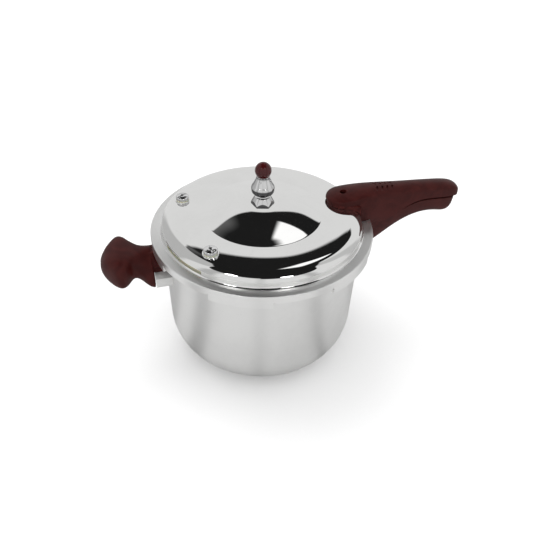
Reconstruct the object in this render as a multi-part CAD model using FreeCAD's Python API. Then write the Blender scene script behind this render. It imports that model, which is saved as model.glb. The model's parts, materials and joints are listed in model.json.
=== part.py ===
import FreeCAD, Part
import math
import os

# A 22 cm stovetop pressure cooker with a bayonet lid, in millimetres.
# The origin is the centre of the flat base, +Z is up and the long handles point along +X.

os.makedirs("parts", exist_ok=True)
Vector = FreeCAD.Vector
UP = Vector(0, 0, 1)

# ---- driving dimensions ----
POT_R = 111.0               # outside radius of the pot's wall
POT_WALL = 2.5
POT_FLOOR = 4.0
BASE_CORNER_R = 50.0        # large corner between floor and wall
FLANGE_Z = 153.6            # underside of the pot's bayonet flange
FLANGE_T = 3.2
FLANGE_R = 119.6            # tip of the pot's lugs
LUG_ROOT_R = 112.8          # flange between the pot's lugs
COLLAR_R = 105.3            # sealing collar that stands inside the lid
COLLAR_TOP = 168.6

LUG_COUNT = 6
LUG_PHASE = 5.5             # middle of one lug, degrees from +X
LID_LUG_ARC = 30.0
POT_LUG_ARC = 26.0

LID_T = 2.2
DOME_TOP = 190.2
CREASE_R = 66.0             # valley between the centre dome and the outer ring of the lid
CREASE_Z = 180.5
WALL_R = 110.6              # upright wall of the lid
BRIM_R = 123.0
BRIM_Z = 165.3              # top of the flat brim
SKIRT_Z = 156.5             # lower edge of the skirt between the lugs
HOOK_Z = 150.4              # underside of the inward hooks
HOOK_T = 2.5
HOOK_R = 113.5              # inner edge of the inward hooks
WINDOW_ARC = (-168.0, -137.0)   # gasket relief window in the lid's wall
SEAT_Z = 181.0              # flat seats for the valves in the lid's outer ring
SEAT_FLOOR = 176.4

GASKET_OUT = 108.2
GASKET_IN = 99.5

VALVE_R = 92.0              # pitch radius of the two relief valves
VALVE_ANGLES = (153.0, -138.0)
FLOAT_X = 93.5              # pressure indicator under the hole in the lid's handle
SCREW_XY = ((84.0, 9.5), (84.0, -9.5))
POT_SCREW_X = 136.0         # screw up through the pot's handle into its bracket

HEAD_Z = 184.2              # flat underside of the lid handle's head
HEAD_END_X = 107.0          # the head ends here and the foot drops to the brim
HANDLE_GAP = 0.8            # gap between the two long handles
HELPER_RIDGE = 7.0         # half-width of the flat top of the helper handle's base
BRIM_CLEAR = 0.6            # room between the brim and what is fixed to the pot
HANDLE_LENGTH = 240.2       # tip of the lid's handle from the pot's axis

WEIGHT_Z = 202.6            # underside of the pressure weight
WEIGHT_TOP = 223.4
HEX_FLATS = 22.2            # hexagon at the foot of the vent pipe
HEX_H = 9.6
HEX_TURN = -14.0            # one corner of the hexagon, degrees from +X
KNOB_Z = 230.0              # centre of the weight's ball knob
KNOB_R = 8.8


# ---- helpers ----
def save(shape, node):
    solid = shape.removeSplitter()
    if not solid.isValid() or solid.Volume <= 0.0:
        raise ValueError("bad solid in " + node)
    solid.exportStep("parts/" + node + ".step")
    print(f"{node:24s} {len(solid.Solids)} solid(s)  {solid.Volume / 1000.0:9.3f} cm3")


def outline(points, plane="xz"):
    """Edges through points: (a, b) is a straight run, (ma, mb, a, b) an arc by way of (ma, mb)."""
    def place(a, b):
        return Vector(a, 0, b) if plane == "xz" else Vector(a, b, 0)
    edges = []
    here = place(*points[0])
    for point in points[1:]:
        there = place(*point[-2:])
        if len(point) == 4:
            edges.append(Part.Arc(here, place(*point[:2]), there).toShape())
        else:
            edges.append(Part.makeLine(here, there))
        here = there
    return edges


def turned(points):
    """A solid of revolution about Z from a closed outline in radius and height."""
    wire = Part.Wire(outline(points + [points[0]]))
    return Part.Face(wire).revolve(Vector(0, 0, 0), UP, 360)


def disc(radius, z0, z1, x=0.0, y=0.0):
    return Part.makeCylinder(radius, z1 - z0, Vector(x, y, z0))


def tube(outer, inner, z0, z1, x=0.0, y=0.0):
    return disc(outer, z0, z1, x, y).cut(disc(inner, z0 - 1, z1 + 1, x, y))


def block(x0, x1, y0, y1, z0, z1):
    return Part.makeBox(x1 - x0, y1 - y0, z1 - z0, Vector(x0, y0, z0))


def hexagon(across_flats, z0, z1, x=0.0, y=0.0):
    corner = across_flats / math.sqrt(3.0)
    points = []
    for step in range(7):
        turn = math.radians(60 * step)
        points.append(Vector(x + corner * math.cos(turn), y + corner * math.sin(turn), z0))
    return Part.Face(Part.makePolygon(points)).extrude(Vector(0, 0, z1 - z0))


def sector(inner, outer, z0, z1, middle, arc):
    """Part of a ring that covers arc degrees about the direction middle."""
    ring = Part.makeCylinder(outer, z1 - z0, Vector(0, 0, z0), UP, arc)
    ring = ring.cut(disc(inner, z0 - 1, z1 + 1))
    ring.rotate(Vector(0, 0, 0), UP, middle - arc / 2.0)
    return ring


def lug_angles():
    return [LUG_PHASE + step * 360.0 / LUG_COUNT for step in range(LUG_COUNT)]


def sideways(shape, angle):
    """Turns a shape about the pot's axis."""
    turned_shape = shape.copy()
    turned_shape.rotate(Vector(0, 0, 0), UP, angle)
    return turned_shape


# ---- the lid's outer form, shared by the lid and by what sits on it ----
def lid_top_line(raise_by=0.0):
    """The lid's outer line from the centre to the lower edge of the skirt."""
    out = raise_by
    up = raise_by
    return [
        (0.0, DOME_TOP + up),
        (33.0, 187.75 + up, CREASE_R, CREASE_Z + up),
        (75.0, 180.9 + up, 84.0, 180.8 + up),
        (94.5, 180.0 + up, 102.5, 178.4 + up),
        (108.2 + out, 175.9 + up, WALL_R + out, 171.4),
        (WALL_R + out, 167.6 + up),
        (111.3 + out, 166.0 + up, 112.9, BRIM_Z + up),
        (121.2, BRIM_Z + up),
        (122.5 + out, 164.7 + up, BRIM_R + out, 163.4),
        (BRIM_R + out, SKIRT_Z),
    ]


def lid_filled(raise_by):
    """Everything below the lid's outer line, for cutting a clearance."""
    return turned(lid_top_line(raise_by) + [(BRIM_R + raise_by, 120.0), (0.0, 120.0)])


# ---- pot ----
def make_pot():
    inner_r = POT_R - POT_WALL
    diagonal = math.sin(math.radians(45))
    mouth_r = COLLAR_R - POT_WALL
    corner_x = POT_R - BASE_CORNER_R
    inner_corner = BASE_CORNER_R - POT_FLOOR
    inner_x = inner_r - inner_corner
    flange_top = FLANGE_Z + FLANGE_T
    pot = turned([
        (0.0, 0.0),
        (corner_x, 0.0),
        (corner_x + BASE_CORNER_R * diagonal, BASE_CORNER_R * (1 - diagonal), POT_R, BASE_CORNER_R),
        (POT_R, FLANGE_Z),
        (FLANGE_R, FLANGE_Z),
        (FLANGE_R, flange_top),
        (COLLAR_R, flange_top),
        (COLLAR_R, COLLAR_TOP - 0.8),
        (COLLAR_R - 0.25, COLLAR_TOP - 0.25, COLLAR_R - 0.8, COLLAR_TOP),
        (mouth_r + 0.8, COLLAR_TOP),
        (mouth_r + 0.25, COLLAR_TOP - 0.25, mouth_r, COLLAR_TOP - 0.8),
        (mouth_r, flange_top - 1.5),
        (inner_r, FLANGE_Z - 5.0),
        (inner_r, BASE_CORNER_R),
        (inner_x + inner_corner * diagonal, BASE_CORNER_R - inner_corner * diagonal, inner_x, POT_FLOOR),
        (0.0, POT_FLOOR),
    ])
    gap_arc = 360.0 / LUG_COUNT - POT_LUG_ARC
    for angle in lug_angles():
        middle = angle + 180.0 / LUG_COUNT
        pot = pot.cut(sector(LUG_ROOT_R, FLANGE_R + 2, FLANGE_Z - 1, flange_top + 1, middle, gap_arc))
    return pot


def make_lid():
    inner = [
        (BRIM_R - LID_T, SKIRT_Z),
        (BRIM_R - LID_T, 162.3),
        (120.5, 162.9, 119.8, BRIM_Z - LID_T),
        (110.3, BRIM_Z - LID_T),
        (109.0, 163.7, WALL_R - LID_T, 165.2),
        (WALL_R - LID_T, 171.2),
        (106.4, 174.4, 101.7, 176.3),
        (94.3, 177.8, 83.9, 178.6),
        (75.0, 178.7, CREASE_R + 0.1, CREASE_Z - LID_T),
        (33.0, 185.5, 0.0, DOME_TOP - LID_T),
    ]
    lid = turned(lid_top_line() + inner)
    skirt_r = BRIM_R - LID_T
    for angle in lug_angles():
        lid = lid.fuse(sector(skirt_r, BRIM_R, HOOK_Z, SKIRT_Z, angle, LID_LUG_ARC))
        lid = lid.fuse(sector(HOOK_R, BRIM_R, HOOK_Z, HOOK_Z + HOOK_T, angle, LID_LUG_ARC))
    relief = disc(1.5, BRIM_R - 6, BRIM_R + 4)
    relief.rotate(Vector(0, 0, 0), Vector(0, 1, 0), 90)
    relief.translate(Vector(0, 0, SKIRT_Z))
    for angle in lug_angles():
        for side in (-1, 1):
            lid = lid.cut(sideways(relief, angle + side * (LID_LUG_ARC / 2.0 + 0.4)))
    first, last = WINDOW_ARC
    lid = lid.cut(sector(WALL_R - 4, WALL_R + 0.9, 166.3, 171.2, (first + last) / 2.0, last - first))
    for x, y in valve_places() + [(FLOAT_X, 0.0)]:
        lid = lid.fuse(disc(8.4, SEAT_FLOOR, SEAT_Z, x, y))
        lid = lid.cut(disc(8.4, SEAT_Z, SEAT_Z + 3, x, y))
        lid = lid.cut(disc(4.5, SEAT_FLOOR - 1, SEAT_Z + 1, x, y))
    for x, y in SCREW_XY:
        lid = lid.fuse(disc(6.0, 178.2, 180.4, x, y))
        lid = lid.cut(disc(2.5, 175, 183, x, y))
    lid = lid.fuse(disc(13.5, DOME_TOP - LID_T - 0.4, DOME_TOP - 0.4))
    lid = lid.cut(disc(13.5, DOME_TOP - 0.4, DOME_TOP + 1))
    return lid.cut(disc(6.0, DOME_TOP - 6.0, DOME_TOP + 4.0))


def make_gasket():
    leg = 2.3
    web_z = 169.2
    top_z = 172.0
    return turned([
        (GASKET_OUT, 163.5),
        (GASKET_OUT, 170.6),
        (GASKET_OUT - 0.4, 171.6, GASKET_OUT - 1.4, top_z),
        (GASKET_IN, top_z),
        (GASKET_IN, 165.6),
        (GASKET_IN + 1.0, 164.8, GASKET_IN + leg - 0.3, 165.6),
        (GASKET_IN + leg - 0.3, web_z),
        (GASKET_OUT - leg, web_z),
        (GASKET_OUT - leg, 163.5),
    ])


# ---- long handles ----
# Height of the joint between the two long handles against the distance from the pot's axis.
# It is the same all the way round, so the lid's handle can swing over the pot's handle.
JOINT_LINE = [
    (124.2, 160.4), (132.0, 159.0), (141.0, 157.9), (151.0, 159.8), (162.0, 164.7),
    (174.0, 171.6), (186.0, 175.2), (199.0, 176.0), (225.0, 174.8), (256.0, 174.0),
]


def joint_space(above, shift):
    """The ring-shaped space above or below the joint between the handles."""
    curve = Part.BSplineCurve()
    curve.interpolate([Vector(r, 0, z + shift) for r, z in JOINT_LINE])
    first_r, first_z = JOINT_LINE[0]
    last_r, last_z = JOINT_LINE[-1]
    far_z = 230.0 if above else 90.0
    corners = [(last_r, last_z + shift), (last_r, far_z), (first_r, far_z), (first_r, first_z + shift)]
    wire = Part.Wire([curve.toShape()] + outline(corners))
    return Part.Face(wire).revolve(Vector(0, 0, 0), UP, 360)


def crowned_section(x, foot_z, side_z, crown_z, foot_w, side_w):
    """A handle's cross-section: flat on one side, arched on the other."""
    corners = [
        Vector(x, -foot_w, foot_z), Vector(x, foot_w, foot_z),
        Vector(x, side_w, side_z), Vector(x, -side_w, side_z),
    ]
    edges = [
        Part.makeLine(corners[0], corners[1]),
        Part.makeLine(corners[1], corners[2]),
        Part.Arc(corners[2], Vector(x, 0, crown_z), corners[3]).toShape(),
        Part.makeLine(corners[3], corners[0]),
    ]
    return Part.Wire(edges)


def prism(points, z0, z1):
    wire = Part.Wire(outline(points + [points[0]], plane="xy"))
    wire.translate(Vector(0, 0, z0))
    return Part.Face(wire).extrude(Vector(0, 0, z1 - z0))


def handle_plan(inset=0.0):
    """Plan of the lid's handle: a pointed oval head that narrows to a round-ended grip."""
    tip = 74.3 + inset
    shoulder = 18.6 - inset
    wide = 26.0 - inset
    return [
        (tip, 0.0),
        (77.0 + inset, -11.2 + inset, 85.0, -shoulder),
        (95.0, -21.2 + inset, 107.0, -wide),
        (229.0, -wide),
        (229.0, -13.0),
        (237.4, -9.3, HANDLE_LENGTH, 0.0),
        (237.4, 9.3, 229.0, 13.0),
        (229.0, wide),
        (107.0, wide),
        (95.0, 21.2 - inset, 85.0, shoulder),
        (77.0 + inset, 11.2 - inset, tip, 0.0),
    ]


def make_lid_handle():
    # x, foot height, shoulder height, crown height, foot half-width, shoulder half-width
    sections = [
        (68.0, 176.0, 184.5, 186.5, 17.0, 16.0),
        (85.0, 176.0, 187.8, 190.5, 18.5, 17.5),
        (103.0, 172.0, 189.5, 193.5, 25.0, 18.0),
        (123.0, 160.0, 190.5, 195.0, 23.5, 16.5),
        (145.0, 152.0, 190.0, 194.8, 18.5, 14.0),
        (170.0, 160.0, 188.6, 193.3, 15.5, 12.5),
        (200.0, 166.0, 187.4, 191.8, 13.5, 12.0),
        (222.0, 166.0, 185.8, 189.9, 13.0, 11.8),
        (233.0, 166.0, 183.6, 187.2, 12.8, 11.6),
        (243.0, 166.0, 177.8, 181.4, 12.5, 11.5),
    ]
    handle = Part.makeLoft([crowned_section(*row) for row in sections], True, False)
    handle = handle.common(prism(handle_plan()[:-1], 140, 210))
    handle = handle.cut(joint_space(above=False, shift=0.0))
    handle = handle.cut(lid_filled(0.3))
    handle = handle.cut(block(60, HEAD_END_X, -40, 40, 140, HEAD_Z))
    handle = handle.cut(disc(4.0, 180, 200, FLOAT_X, 0.0))
    handle = handle.cut(disc(8.6, 180, 188.4, FLOAT_X, 0.0))
    for x, y in SCREW_XY:
        handle = handle.cut(disc(2.5, 180, 187.6, x, y))
    for step in range(4):
        for side in (-1, 1):
            groove = block(-0.7, 0.7, -4.8, 4.8, 0, 6)
            groove.rotate(Vector(0, 0, 0), UP, side * 24)
            groove.translate(Vector(132.0 + 6.2 * step, side * 6.4, 193.2 - 0.2 * step))
            handle = handle.cut(groove)
    return handle


def make_handle_seat():
    seat = prism(handle_plan(inset=1.0)[:-1], 170, HEAD_Z - 0.05)
    seat = seat.common(block(60, HEAD_END_X - 0.2, -40, 40, 140, 200))
    seat = seat.cut(lid_filled(0.05))
    seat = seat.cut(disc(8.7, 170, 190, FLOAT_X, 0.0))
    for x, y in SCREW_XY:
        seat = seat.cut(disc(2.5, 170, 190, x, y))
    return seat


def make_pot_handle():
    # x, top height, shoulder height, underside height, top half-width, shoulder half-width
    sections = [
        (108.0, 185.0, 109.0, 103.5, 15.5, 10.0),
        (118.0, 185.0, 114.6, 109.0, 15.5, 10.2),
        (127.0, 185.0, 120.2, 114.4, 15.5, 10.5),
        (135.5, 185.0, 126.0, 120.2, 15.4, 10.5),
        (144.5, 185.0, 132.6, 126.8, 15.0, 10.5),
        (155.0, 185.0, 140.4, 134.8, 14.5, 10.0),
        (167.0, 185.0, 148.6, 143.2, 14.0, 10.0),
        (179.0, 185.0, 154.2, 149.0, 13.5, 10.0),
        (191.0, 185.0, 157.6, 152.6, 13.0, 10.0),
        (204.0, 185.0, 158.5, 153.5, 13.0, 10.0),
        (215.0, 185.0, 157.2, 152.2, 13.0, 10.0),
        (223.0, 185.0, 155.0, 150.4, 13.0, 10.0),
        (229.0, 185.0, 155.6, 151.4, 12.8, 9.8),
        (233.5, 185.0, 161.0, 157.0, 12.5, 9.5),
        (240.0, 185.0, 172.0, 169.0, 12.0, 9.0),
    ]
    handle = Part.makeLoft([crowned_section(*row) for row in sections], True, False)
    end = [
        (90.0, -20.0), (226.0, -20.0), (226.0, -12.8),
        (233.4, -9.0, 235.8, 0.0), (233.4, 9.0, 226.0, 12.8), (226.0, 20.0), (90.0, 20.0),
    ]
    handle = handle.common(prism(end, 100, 200))
    handle = handle.cut(joint_space(above=True, shift=-HANDLE_GAP))
    hook_room = disc(BRIM_R + 1.2, HOOK_Z - BRIM_CLEAR, 200)
    handle = handle.cut(hook_room)
    handle = handle.cut(disc(POT_R + 1.9, 90, 200))
    handle = handle.cut(block(100, 147, -10.1, 10.1, 139.4, 148.6))
    handle = handle.cut(disc(2.6, 130, 150, POT_SCREW_X, 0.0))
    handle = handle.cut(disc(4.8, 140, 151.7, POT_SCREW_X, 0.0))
    return handle.cut(disc(4.8, 90, 135.9, POT_SCREW_X, 0.0))


def make_pot_bracket():
    """A folded channel with ears that are spot-welded to the pot's wall."""
    channel = block(105, 146, -10, 10, 139.5, 148.5)
    channel = channel.cut(block(105, 147, -8.4, 8.4, 138.5, 146.9))
    ears = sector(POT_R + 0.05, POT_R + 1.65, 135, 149, 0.0, 17.0)
    doorway = block(105, 120, -8.4, 8.4, 134, 146.9)
    bracket = channel.fuse(ears).cut(disc(POT_R + 0.05, 100, 200)).cut(doorway)
    return bracket.cut(disc(2.6, 145, 150, POT_SCREW_X, 0.0))


def make_pot_handle_screw():
    screw = disc(2.5, 135.5, 151.4, POT_SCREW_X, 0.0).fuse(disc(4.5, 132.6, 135.8, POT_SCREW_X, 0.0))
    return screw.cut(block(POT_SCREW_X - 6, POT_SCREW_X + 6, -0.6, 0.6, 132, 134))


# ---- helper handle ----
def across(points, x0, x1):
    """A bar along X with an outline in Y and Z."""
    corners = [Vector(x0, y, z) for y, z in points + [points[0]]]
    return Part.Face(Part.makePolygon(corners)).extrude(Vector(x1 - x0, 0, 0))


def make_helper_handle():
    plan = [
        (-124.6, -31.0),
        (-133.0, -30.0, -139.0, -22.5),
        (-144.5, -17.4, -150.0, -23.5),
        (-158.0, -32.6, -169.0, -24.0),
        (-180.0, 0.0, -169.0, 24.0),
        (-158.0, 32.6, -150.0, 23.5),
        (-144.5, 17.4, -139.0, 22.5),
        (-133.0, 30.0, -124.6, 31.0),
    ]
    grip = prism(plan, 110, 165)
    side = [
        (-124.6, 119.4),
        (-124.6, 150.6),
        (-126.0, 151.4, -129.0, 151.2),
        (-137.0, 150.6, -146.0, 151.8),
        (-160.0, 155.2, -173.0, 149.0),
        (-181.0, 138.0, -174.0, 126.0),
        (-164.0, 117.5, -152.0, 121.0),
        (-144.0, 122.5, -136.0, 121.0),
        (-130.0, 119.0, -124.6, 119.4),
    ]
    face = Part.Face(Part.Wire(outline(side)))
    face.translate(Vector(0, -50, 0))
    grip = grip.common(face.extrude(Vector(0, 100, 0)))
    roof = [
        (-26.0, 131.3), (-26.0, 135.0), (-HELPER_RIDGE, 149.6), (HELPER_RIDGE, 149.6), (26.0, 135.0), (26.0, 131.3),
    ]
    grip = grip.fuse(across(roof, -128.0, -108.0))
    for side_y in (-1, 1):
        above_roof = [
            (side_y * HELPER_RIDGE, 152.5), (side_y * 36.0, 128.0), (side_y * 36.0, 160.0),
            (side_y * HELPER_RIDGE, 160.0),
        ]
        grip = grip.cut(across(above_roof, -136.0, -100.0))
    grip = grip.cut(block(-124.6, -100.0, -8.5, 8.5, 100.0, 143.6))
    grip = grip.cut(block(-124.6, -100.0, -40.0, 40.0, 100.0, 131.2))
    grip = grip.cut(disc(POT_R + 1.8, 90, 200))
    grip = grip.cut(disc(BRIM_R + 1.2, HOOK_Z - BRIM_CLEAR, 200))
    bore = disc(2.7, 100, 200)
    bore.rotate(Vector(0, 0, 0), Vector(0, 1, 0), -90)
    bore.translate(Vector(0, 0, 136))
    sink = disc(5.0, 172.0, 200)
    sink.rotate(Vector(0, 0, 0), Vector(0, 1, 0), -90)
    sink.translate(Vector(0, 0, 136))
    return grip.cut(bore).cut(sink)


def make_helper_bracket():
    """Folded sheet: a shelf, two cheeks, a face plate behind the grip and two welded ears."""
    sheet = 1.6
    shelf = block(-124.4, -100, -31, 31, 131.0 - sheet, 131.0)
    cheeks = block(-124.4, -100, -31, 31, 119.6, 131.0)
    cheeks = cheeks.cut(block(-122.8, -90, -31 + sheet, 31 - sheet, 118, 132))
    plate = block(-124.4, -124.4 + sheet, -8, 8, 131.0, 143.0)
    bracket = shelf.fuse(cheeks).fuse(plate).cut(disc(POT_R + 0.05, 90, 200))
    for side in (-1, 1):
        bracket = bracket.fuse(sector(POT_R + 0.05, POT_R + sheet, 119.6, 131.0, 180 + side * 17.6, 3.6))
    bore = disc(2.6, 110, 130)
    bore.rotate(Vector(0, 0, 0), Vector(0, 1, 0), -90)
    bore.translate(Vector(0, 0, 136))
    return bracket.cut(bore)


def make_helper_screw():
    screw = disc(2.5, 116.5, 172.5).fuse(disc(4.7, 172.1, 175.2))
    screw = screw.cut(block(-6, 6, -0.6, 0.6, 173.8, 180))
    screw.rotate(Vector(0, 0, 0), Vector(0, 1, 0), -90)
    screw.translate(Vector(0, 0, 136))
    return screw


def make_helper_nut():
    nut = hexagon(8.0, 118.2, 122.6).cut(disc(2.5, 110, 130))
    nut.rotate(Vector(0, 0, 0), Vector(0, 1, 0), -90)
    nut.translate(Vector(0, 0, 136))
    return nut


# ---- relief valves ----
def valve_places():
    places = []
    for angle in VALVE_ANGLES:
        turn = math.radians(angle)
        places.append((VALVE_R * math.cos(turn), VALVE_R * math.sin(turn)))
    return places


def coil(radius, wire_r, z0, z1, turns):
    path = Part.makeHelix((z1 - z0 - 2 * wire_r) / turns, z1 - z0 - 2 * wire_r, radius)
    path.translate(Vector(0, 0, z0 + wire_r))
    ring = Part.makeCircle(wire_r, Vector(radius, 0, z0 + wire_r), Vector(0, 1, 0))
    return Part.Wire(path.Edges).makePipeShell([Part.Wire([ring])], True, True)


def make_relief_valve(index, x, y, angle):
    """Slotted cap with a hollow shank, sealing washer, nut, poppet and spring."""
    washer_t = 0.8
    head_z = SEAT_Z + washer_t
    shank_z = SEAT_Z - 9.5
    orifice_top = SEAT_Z - 8.0
    cap = turned([
        (0.0, shank_z), (4.4, shank_z), (4.4, head_z), (6.9, head_z), (7.2, head_z + 0.3),
        (7.2, head_z + 2.6), (6.4, head_z + 3.9, 4.6, head_z + 4.3), (0.0, head_z + 4.3),
    ])
    cap = cap.cut(disc(3.0, orifice_top, SEAT_Z + 2.4))
    cap = cap.cut(disc(1.4, shank_z - 1, head_z + 6))
    cap = cap.cut(block(-8, 8, -0.8, 0.8, head_z + 3.2, head_z + 6))
    cap.rotate(Vector(0, 0, 0), UP, angle)
    poppet = disc(2.92, orifice_top + 0.1, orifice_top + 2.4).fuse(disc(1.2, orifice_top, SEAT_Z - 1.5))
    pieces = {
        "cap": cap,
        "washer": tube(7.0, 4.5, SEAT_Z, head_z),
        "nut": hexagon(12.6, SEAT_FLOOR - 3.8, SEAT_FLOOR - 0.02).cut(disc(4.4, 100, 200)),
        "poppet": poppet.cut(disc(2.0, orifice_top - 1, orifice_top + 0.1)),
        "spring": coil(2.2, 0.35, orifice_top + 2.5, SEAT_Z + 2.3, 6),
    }
    for name, shape in pieces.items():
        shape.translate(Vector(x, y, 0))
        save(shape, f"relief_valve_{index}_{name}")


# ---- pressure indicator ----
def make_indicator():
    guide = tube(7.0, 2.6, SEAT_Z + 0.02, SEAT_Z + 1.6).fuse(tube(4.4, 2.6, 171.6, SEAT_Z + 0.5))
    nut = hexagon(12.0, SEAT_FLOOR - 3.8, SEAT_FLOOR - 0.02).cut(disc(4.4, 100, 200))
    pin = disc(2.52, 162.0, 184.9).fuse(disc(4.2, 162.0, 163.6)).fuse(disc(3.4, 183.0, 184.9))
    ring = tube(4.0, 2.52, 163.65, 165.6)
    for shape, node in ((guide, "indicator_guide"), (nut, "indicator_nut"),
                        (pin, "indicator_pin"), (ring, "indicator_seal")):
        shape.translate(Vector(FLOAT_X, 0, 0))
        save(shape, node)


# ---- vent and weight ----
def make_vent():
    hex_z = DOME_TOP - 0.38
    chamfer = turned([
        (0.0, hex_z), (12.9, hex_z), (12.9, hex_z + 1.8), (8.2, hex_z + HEX_H), (0.0, hex_z + HEX_H),
    ])
    pipe = sideways(hexagon(HEX_FLATS, hex_z, hex_z + HEX_H), HEX_TURN).common(chamfer)
    pipe = pipe.fuse(turned([
        (0.0, 171.5), (5.9, 171.5), (5.9, 193.0), (5.0, 193.0), (5.0, 208.0),
        (3.8, 210.0), (3.8, 213.0), (2.8, 214.0), (0.0, 214.0),
    ]))
    save(pipe.cut(disc(1.6, 160, 220)), "vent_pipe")
    washer_z = DOME_TOP - LID_T - 0.4
    save(tube(9.5, 6.0, washer_z - 1.0, washer_z - 0.01), "vent_washer")
    nut = hexagon(17.0, washer_z - 5.5, washer_z - 1.02).cut(disc(5.9, 160, 200))
    save(nut, "vent_nut")
    strainer = tube(8.0, 5.95, 172.5, 178.0).fuse(disc(8.0, 168.2, 169.2)).fuse(tube(8.0, 7.0, 169.0, 173.0))
    for step in range(8):
        hole = disc(0.9, 5.0, 10.0)
        hole.rotate(Vector(0, 0, 0), Vector(0, 1, 0), 90)
        hole.translate(Vector(0, 0, 170.8))
        strainer = strainer.cut(sideways(hole, 45.0 * step))
    for step in range(6):
        turn = math.radians(60 * step)
        strainer = strainer.cut(disc(0.9, 160, 170, 4.2 * math.cos(turn), 4.2 * math.sin(turn)))
    save(strainer, "vent_strainer")


def make_weight():
    hollow_top = 217.0
    needle_seat = 215.9
    hole_z = 219.3
    body = turned([
        (0.0, WEIGHT_Z),
        (7.8, WEIGHT_Z),
        (11.3, WEIGHT_Z + 1.7, 12.4, WEIGHT_Z + 5.2),
        (12.3, WEIGHT_Z + 8.4, 10.9, WEIGHT_Z + 10.8),
        (8.4, WEIGHT_Z + 16.0),
        (7.5, WEIGHT_Z + 18.2, 7.1, WEIGHT_TOP - 0.3),
        (6.8, WEIGHT_TOP),
        (0.0, WEIGHT_TOP),
    ])
    body = body.cut(disc(5.5, WEIGHT_Z - 1, WEIGHT_Z + 3.4)).cut(disc(6.6, WEIGHT_Z + 3.2, hollow_top))
    body = body.cut(disc(4.6, hollow_top - 1, 220.6)).cut(disc(2.5, 210, 230))
    for step in range(4):
        vent = disc(1.2, 3.6, 14.0)
        vent.rotate(Vector(0, 0, 0), Vector(0, 1, 0), 90)
        vent.translate(Vector(0, 0, hole_z))
        body = body.cut(sideways(vent, -125.0 + 90.0 * step))
    save(body, "weight_body")
    knob_bottom = WEIGHT_TOP + 0.05
    ball = Part.makeSphere(KNOB_R, Vector(0, 0, KNOB_Z)).cut(disc(20, 200, knob_bottom))
    collar = disc(6.8, knob_bottom, KNOB_Z - 4.0)
    save(ball.fuse(collar).cut(disc(2.5, 215, 232)), "weight_knob")
    needle = turned([
        (0.0, 213.4), (0.3, 213.4), (2.49, 215.6), (2.49, 231.5), (0.0, 231.5),
    ])
    save(needle.fuse(disc(4.5, needle_seat - 1.0, needle_seat)), "weight_needle")


def make_lid_screws():
    screws = []
    seals = []
    for x, y in SCREW_XY:
        screw = disc(2.45, 176.0, 187.0, x, y).fuse(disc(4.3, 174.6, 177.15, x, y))
        screws.append(screw.cut(block(x - 6, x + 6, y - 0.6, y + 0.6, 170, 175.6)))
        seals.append(tube(4.6, 2.45, 177.17, 178.18, x, y))
    save(Part.makeCompound(screws), "lid_handle_screws")
    save(Part.makeCompound(seals), "lid_handle_seals")


save(make_pot(), "pot_shell")
save(make_pot_bracket(), "pot_handle_bracket")
save(make_pot_handle(), "pot_handle")
save(make_pot_handle_screw(), "pot_handle_screw")
save(hexagon(8.0, 148.6, 151.4, POT_SCREW_X, 0.0).cut(disc(2.5, 100, 200, POT_SCREW_X, 0.0)), "pot_handle_nut")
save(make_helper_bracket(), "helper_bracket")
save(make_helper_handle(), "helper_handle")
save(make_helper_screw(), "helper_screw")
save(make_helper_nut(), "helper_nut")
save(make_lid(), "lid_shell")
save(make_gasket(), "gasket")
save(make_lid_handle(), "lid_handle")
save(make_handle_seat(), "lid_handle_seat")
make_lid_screws()
for number, (place, heading) in enumerate(zip(valve_places(), VALVE_ANGLES), start=1):
    make_relief_valve(number, place[0], place[1], heading + 60.0)
make_indicator()
make_vent()
make_weight()
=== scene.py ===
# %% [markdown]
# # A stovetop pressure cooker around its CAD frame
#
# The cooker is a pressed aluminium pot with a mirror-polished lid, two long moulded handles that lie over each
# other, a short helper handle on a folded bracket, a drop-on weight and two relief valves. Its sizes, joints and
# hidden fittings come from the CAD frame. This file gives it the surfaces that a camera sees: each pressed part is
# spun, each moulded part is lofted through its cross-sections, and every finish is made of nodes.

# %% Load the frame
import json
import math

import bpy
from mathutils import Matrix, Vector


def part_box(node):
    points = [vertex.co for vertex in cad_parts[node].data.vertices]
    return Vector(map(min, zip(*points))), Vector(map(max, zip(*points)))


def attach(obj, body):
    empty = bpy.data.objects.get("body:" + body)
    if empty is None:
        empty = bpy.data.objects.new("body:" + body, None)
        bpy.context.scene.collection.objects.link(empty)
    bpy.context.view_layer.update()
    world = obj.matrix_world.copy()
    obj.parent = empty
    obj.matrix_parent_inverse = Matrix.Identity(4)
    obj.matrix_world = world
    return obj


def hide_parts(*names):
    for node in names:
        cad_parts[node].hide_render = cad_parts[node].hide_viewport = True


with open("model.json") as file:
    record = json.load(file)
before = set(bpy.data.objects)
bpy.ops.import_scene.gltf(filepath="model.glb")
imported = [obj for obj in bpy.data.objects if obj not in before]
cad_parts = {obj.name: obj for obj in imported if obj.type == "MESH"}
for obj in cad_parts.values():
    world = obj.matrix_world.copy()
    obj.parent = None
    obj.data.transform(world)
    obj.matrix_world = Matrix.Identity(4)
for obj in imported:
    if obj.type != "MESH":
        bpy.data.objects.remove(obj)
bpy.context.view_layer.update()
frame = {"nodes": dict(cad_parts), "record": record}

# %% [markdown]
# ## Sizes
#
# A pressed cooker is drawn in millimetres, and Blender works in metres, so every outline below is written in
# millimetres and turned into metres in one place. A few sizes are read from the frame's boxes: the collar's top, the
# hooks' foot, the weight's foot and the handle's end. The rest are given as numbers, the press tools' sizes among
# them.

# %% Read the driving sizes from the frame
MM = 0.001


def reach(node, axis, end):
    """The lowest (end 0) or highest (end 1) place of a CAD node along an axis, in millimetres."""
    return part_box(node)[end]["xyz".index(axis)] / MM


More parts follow.
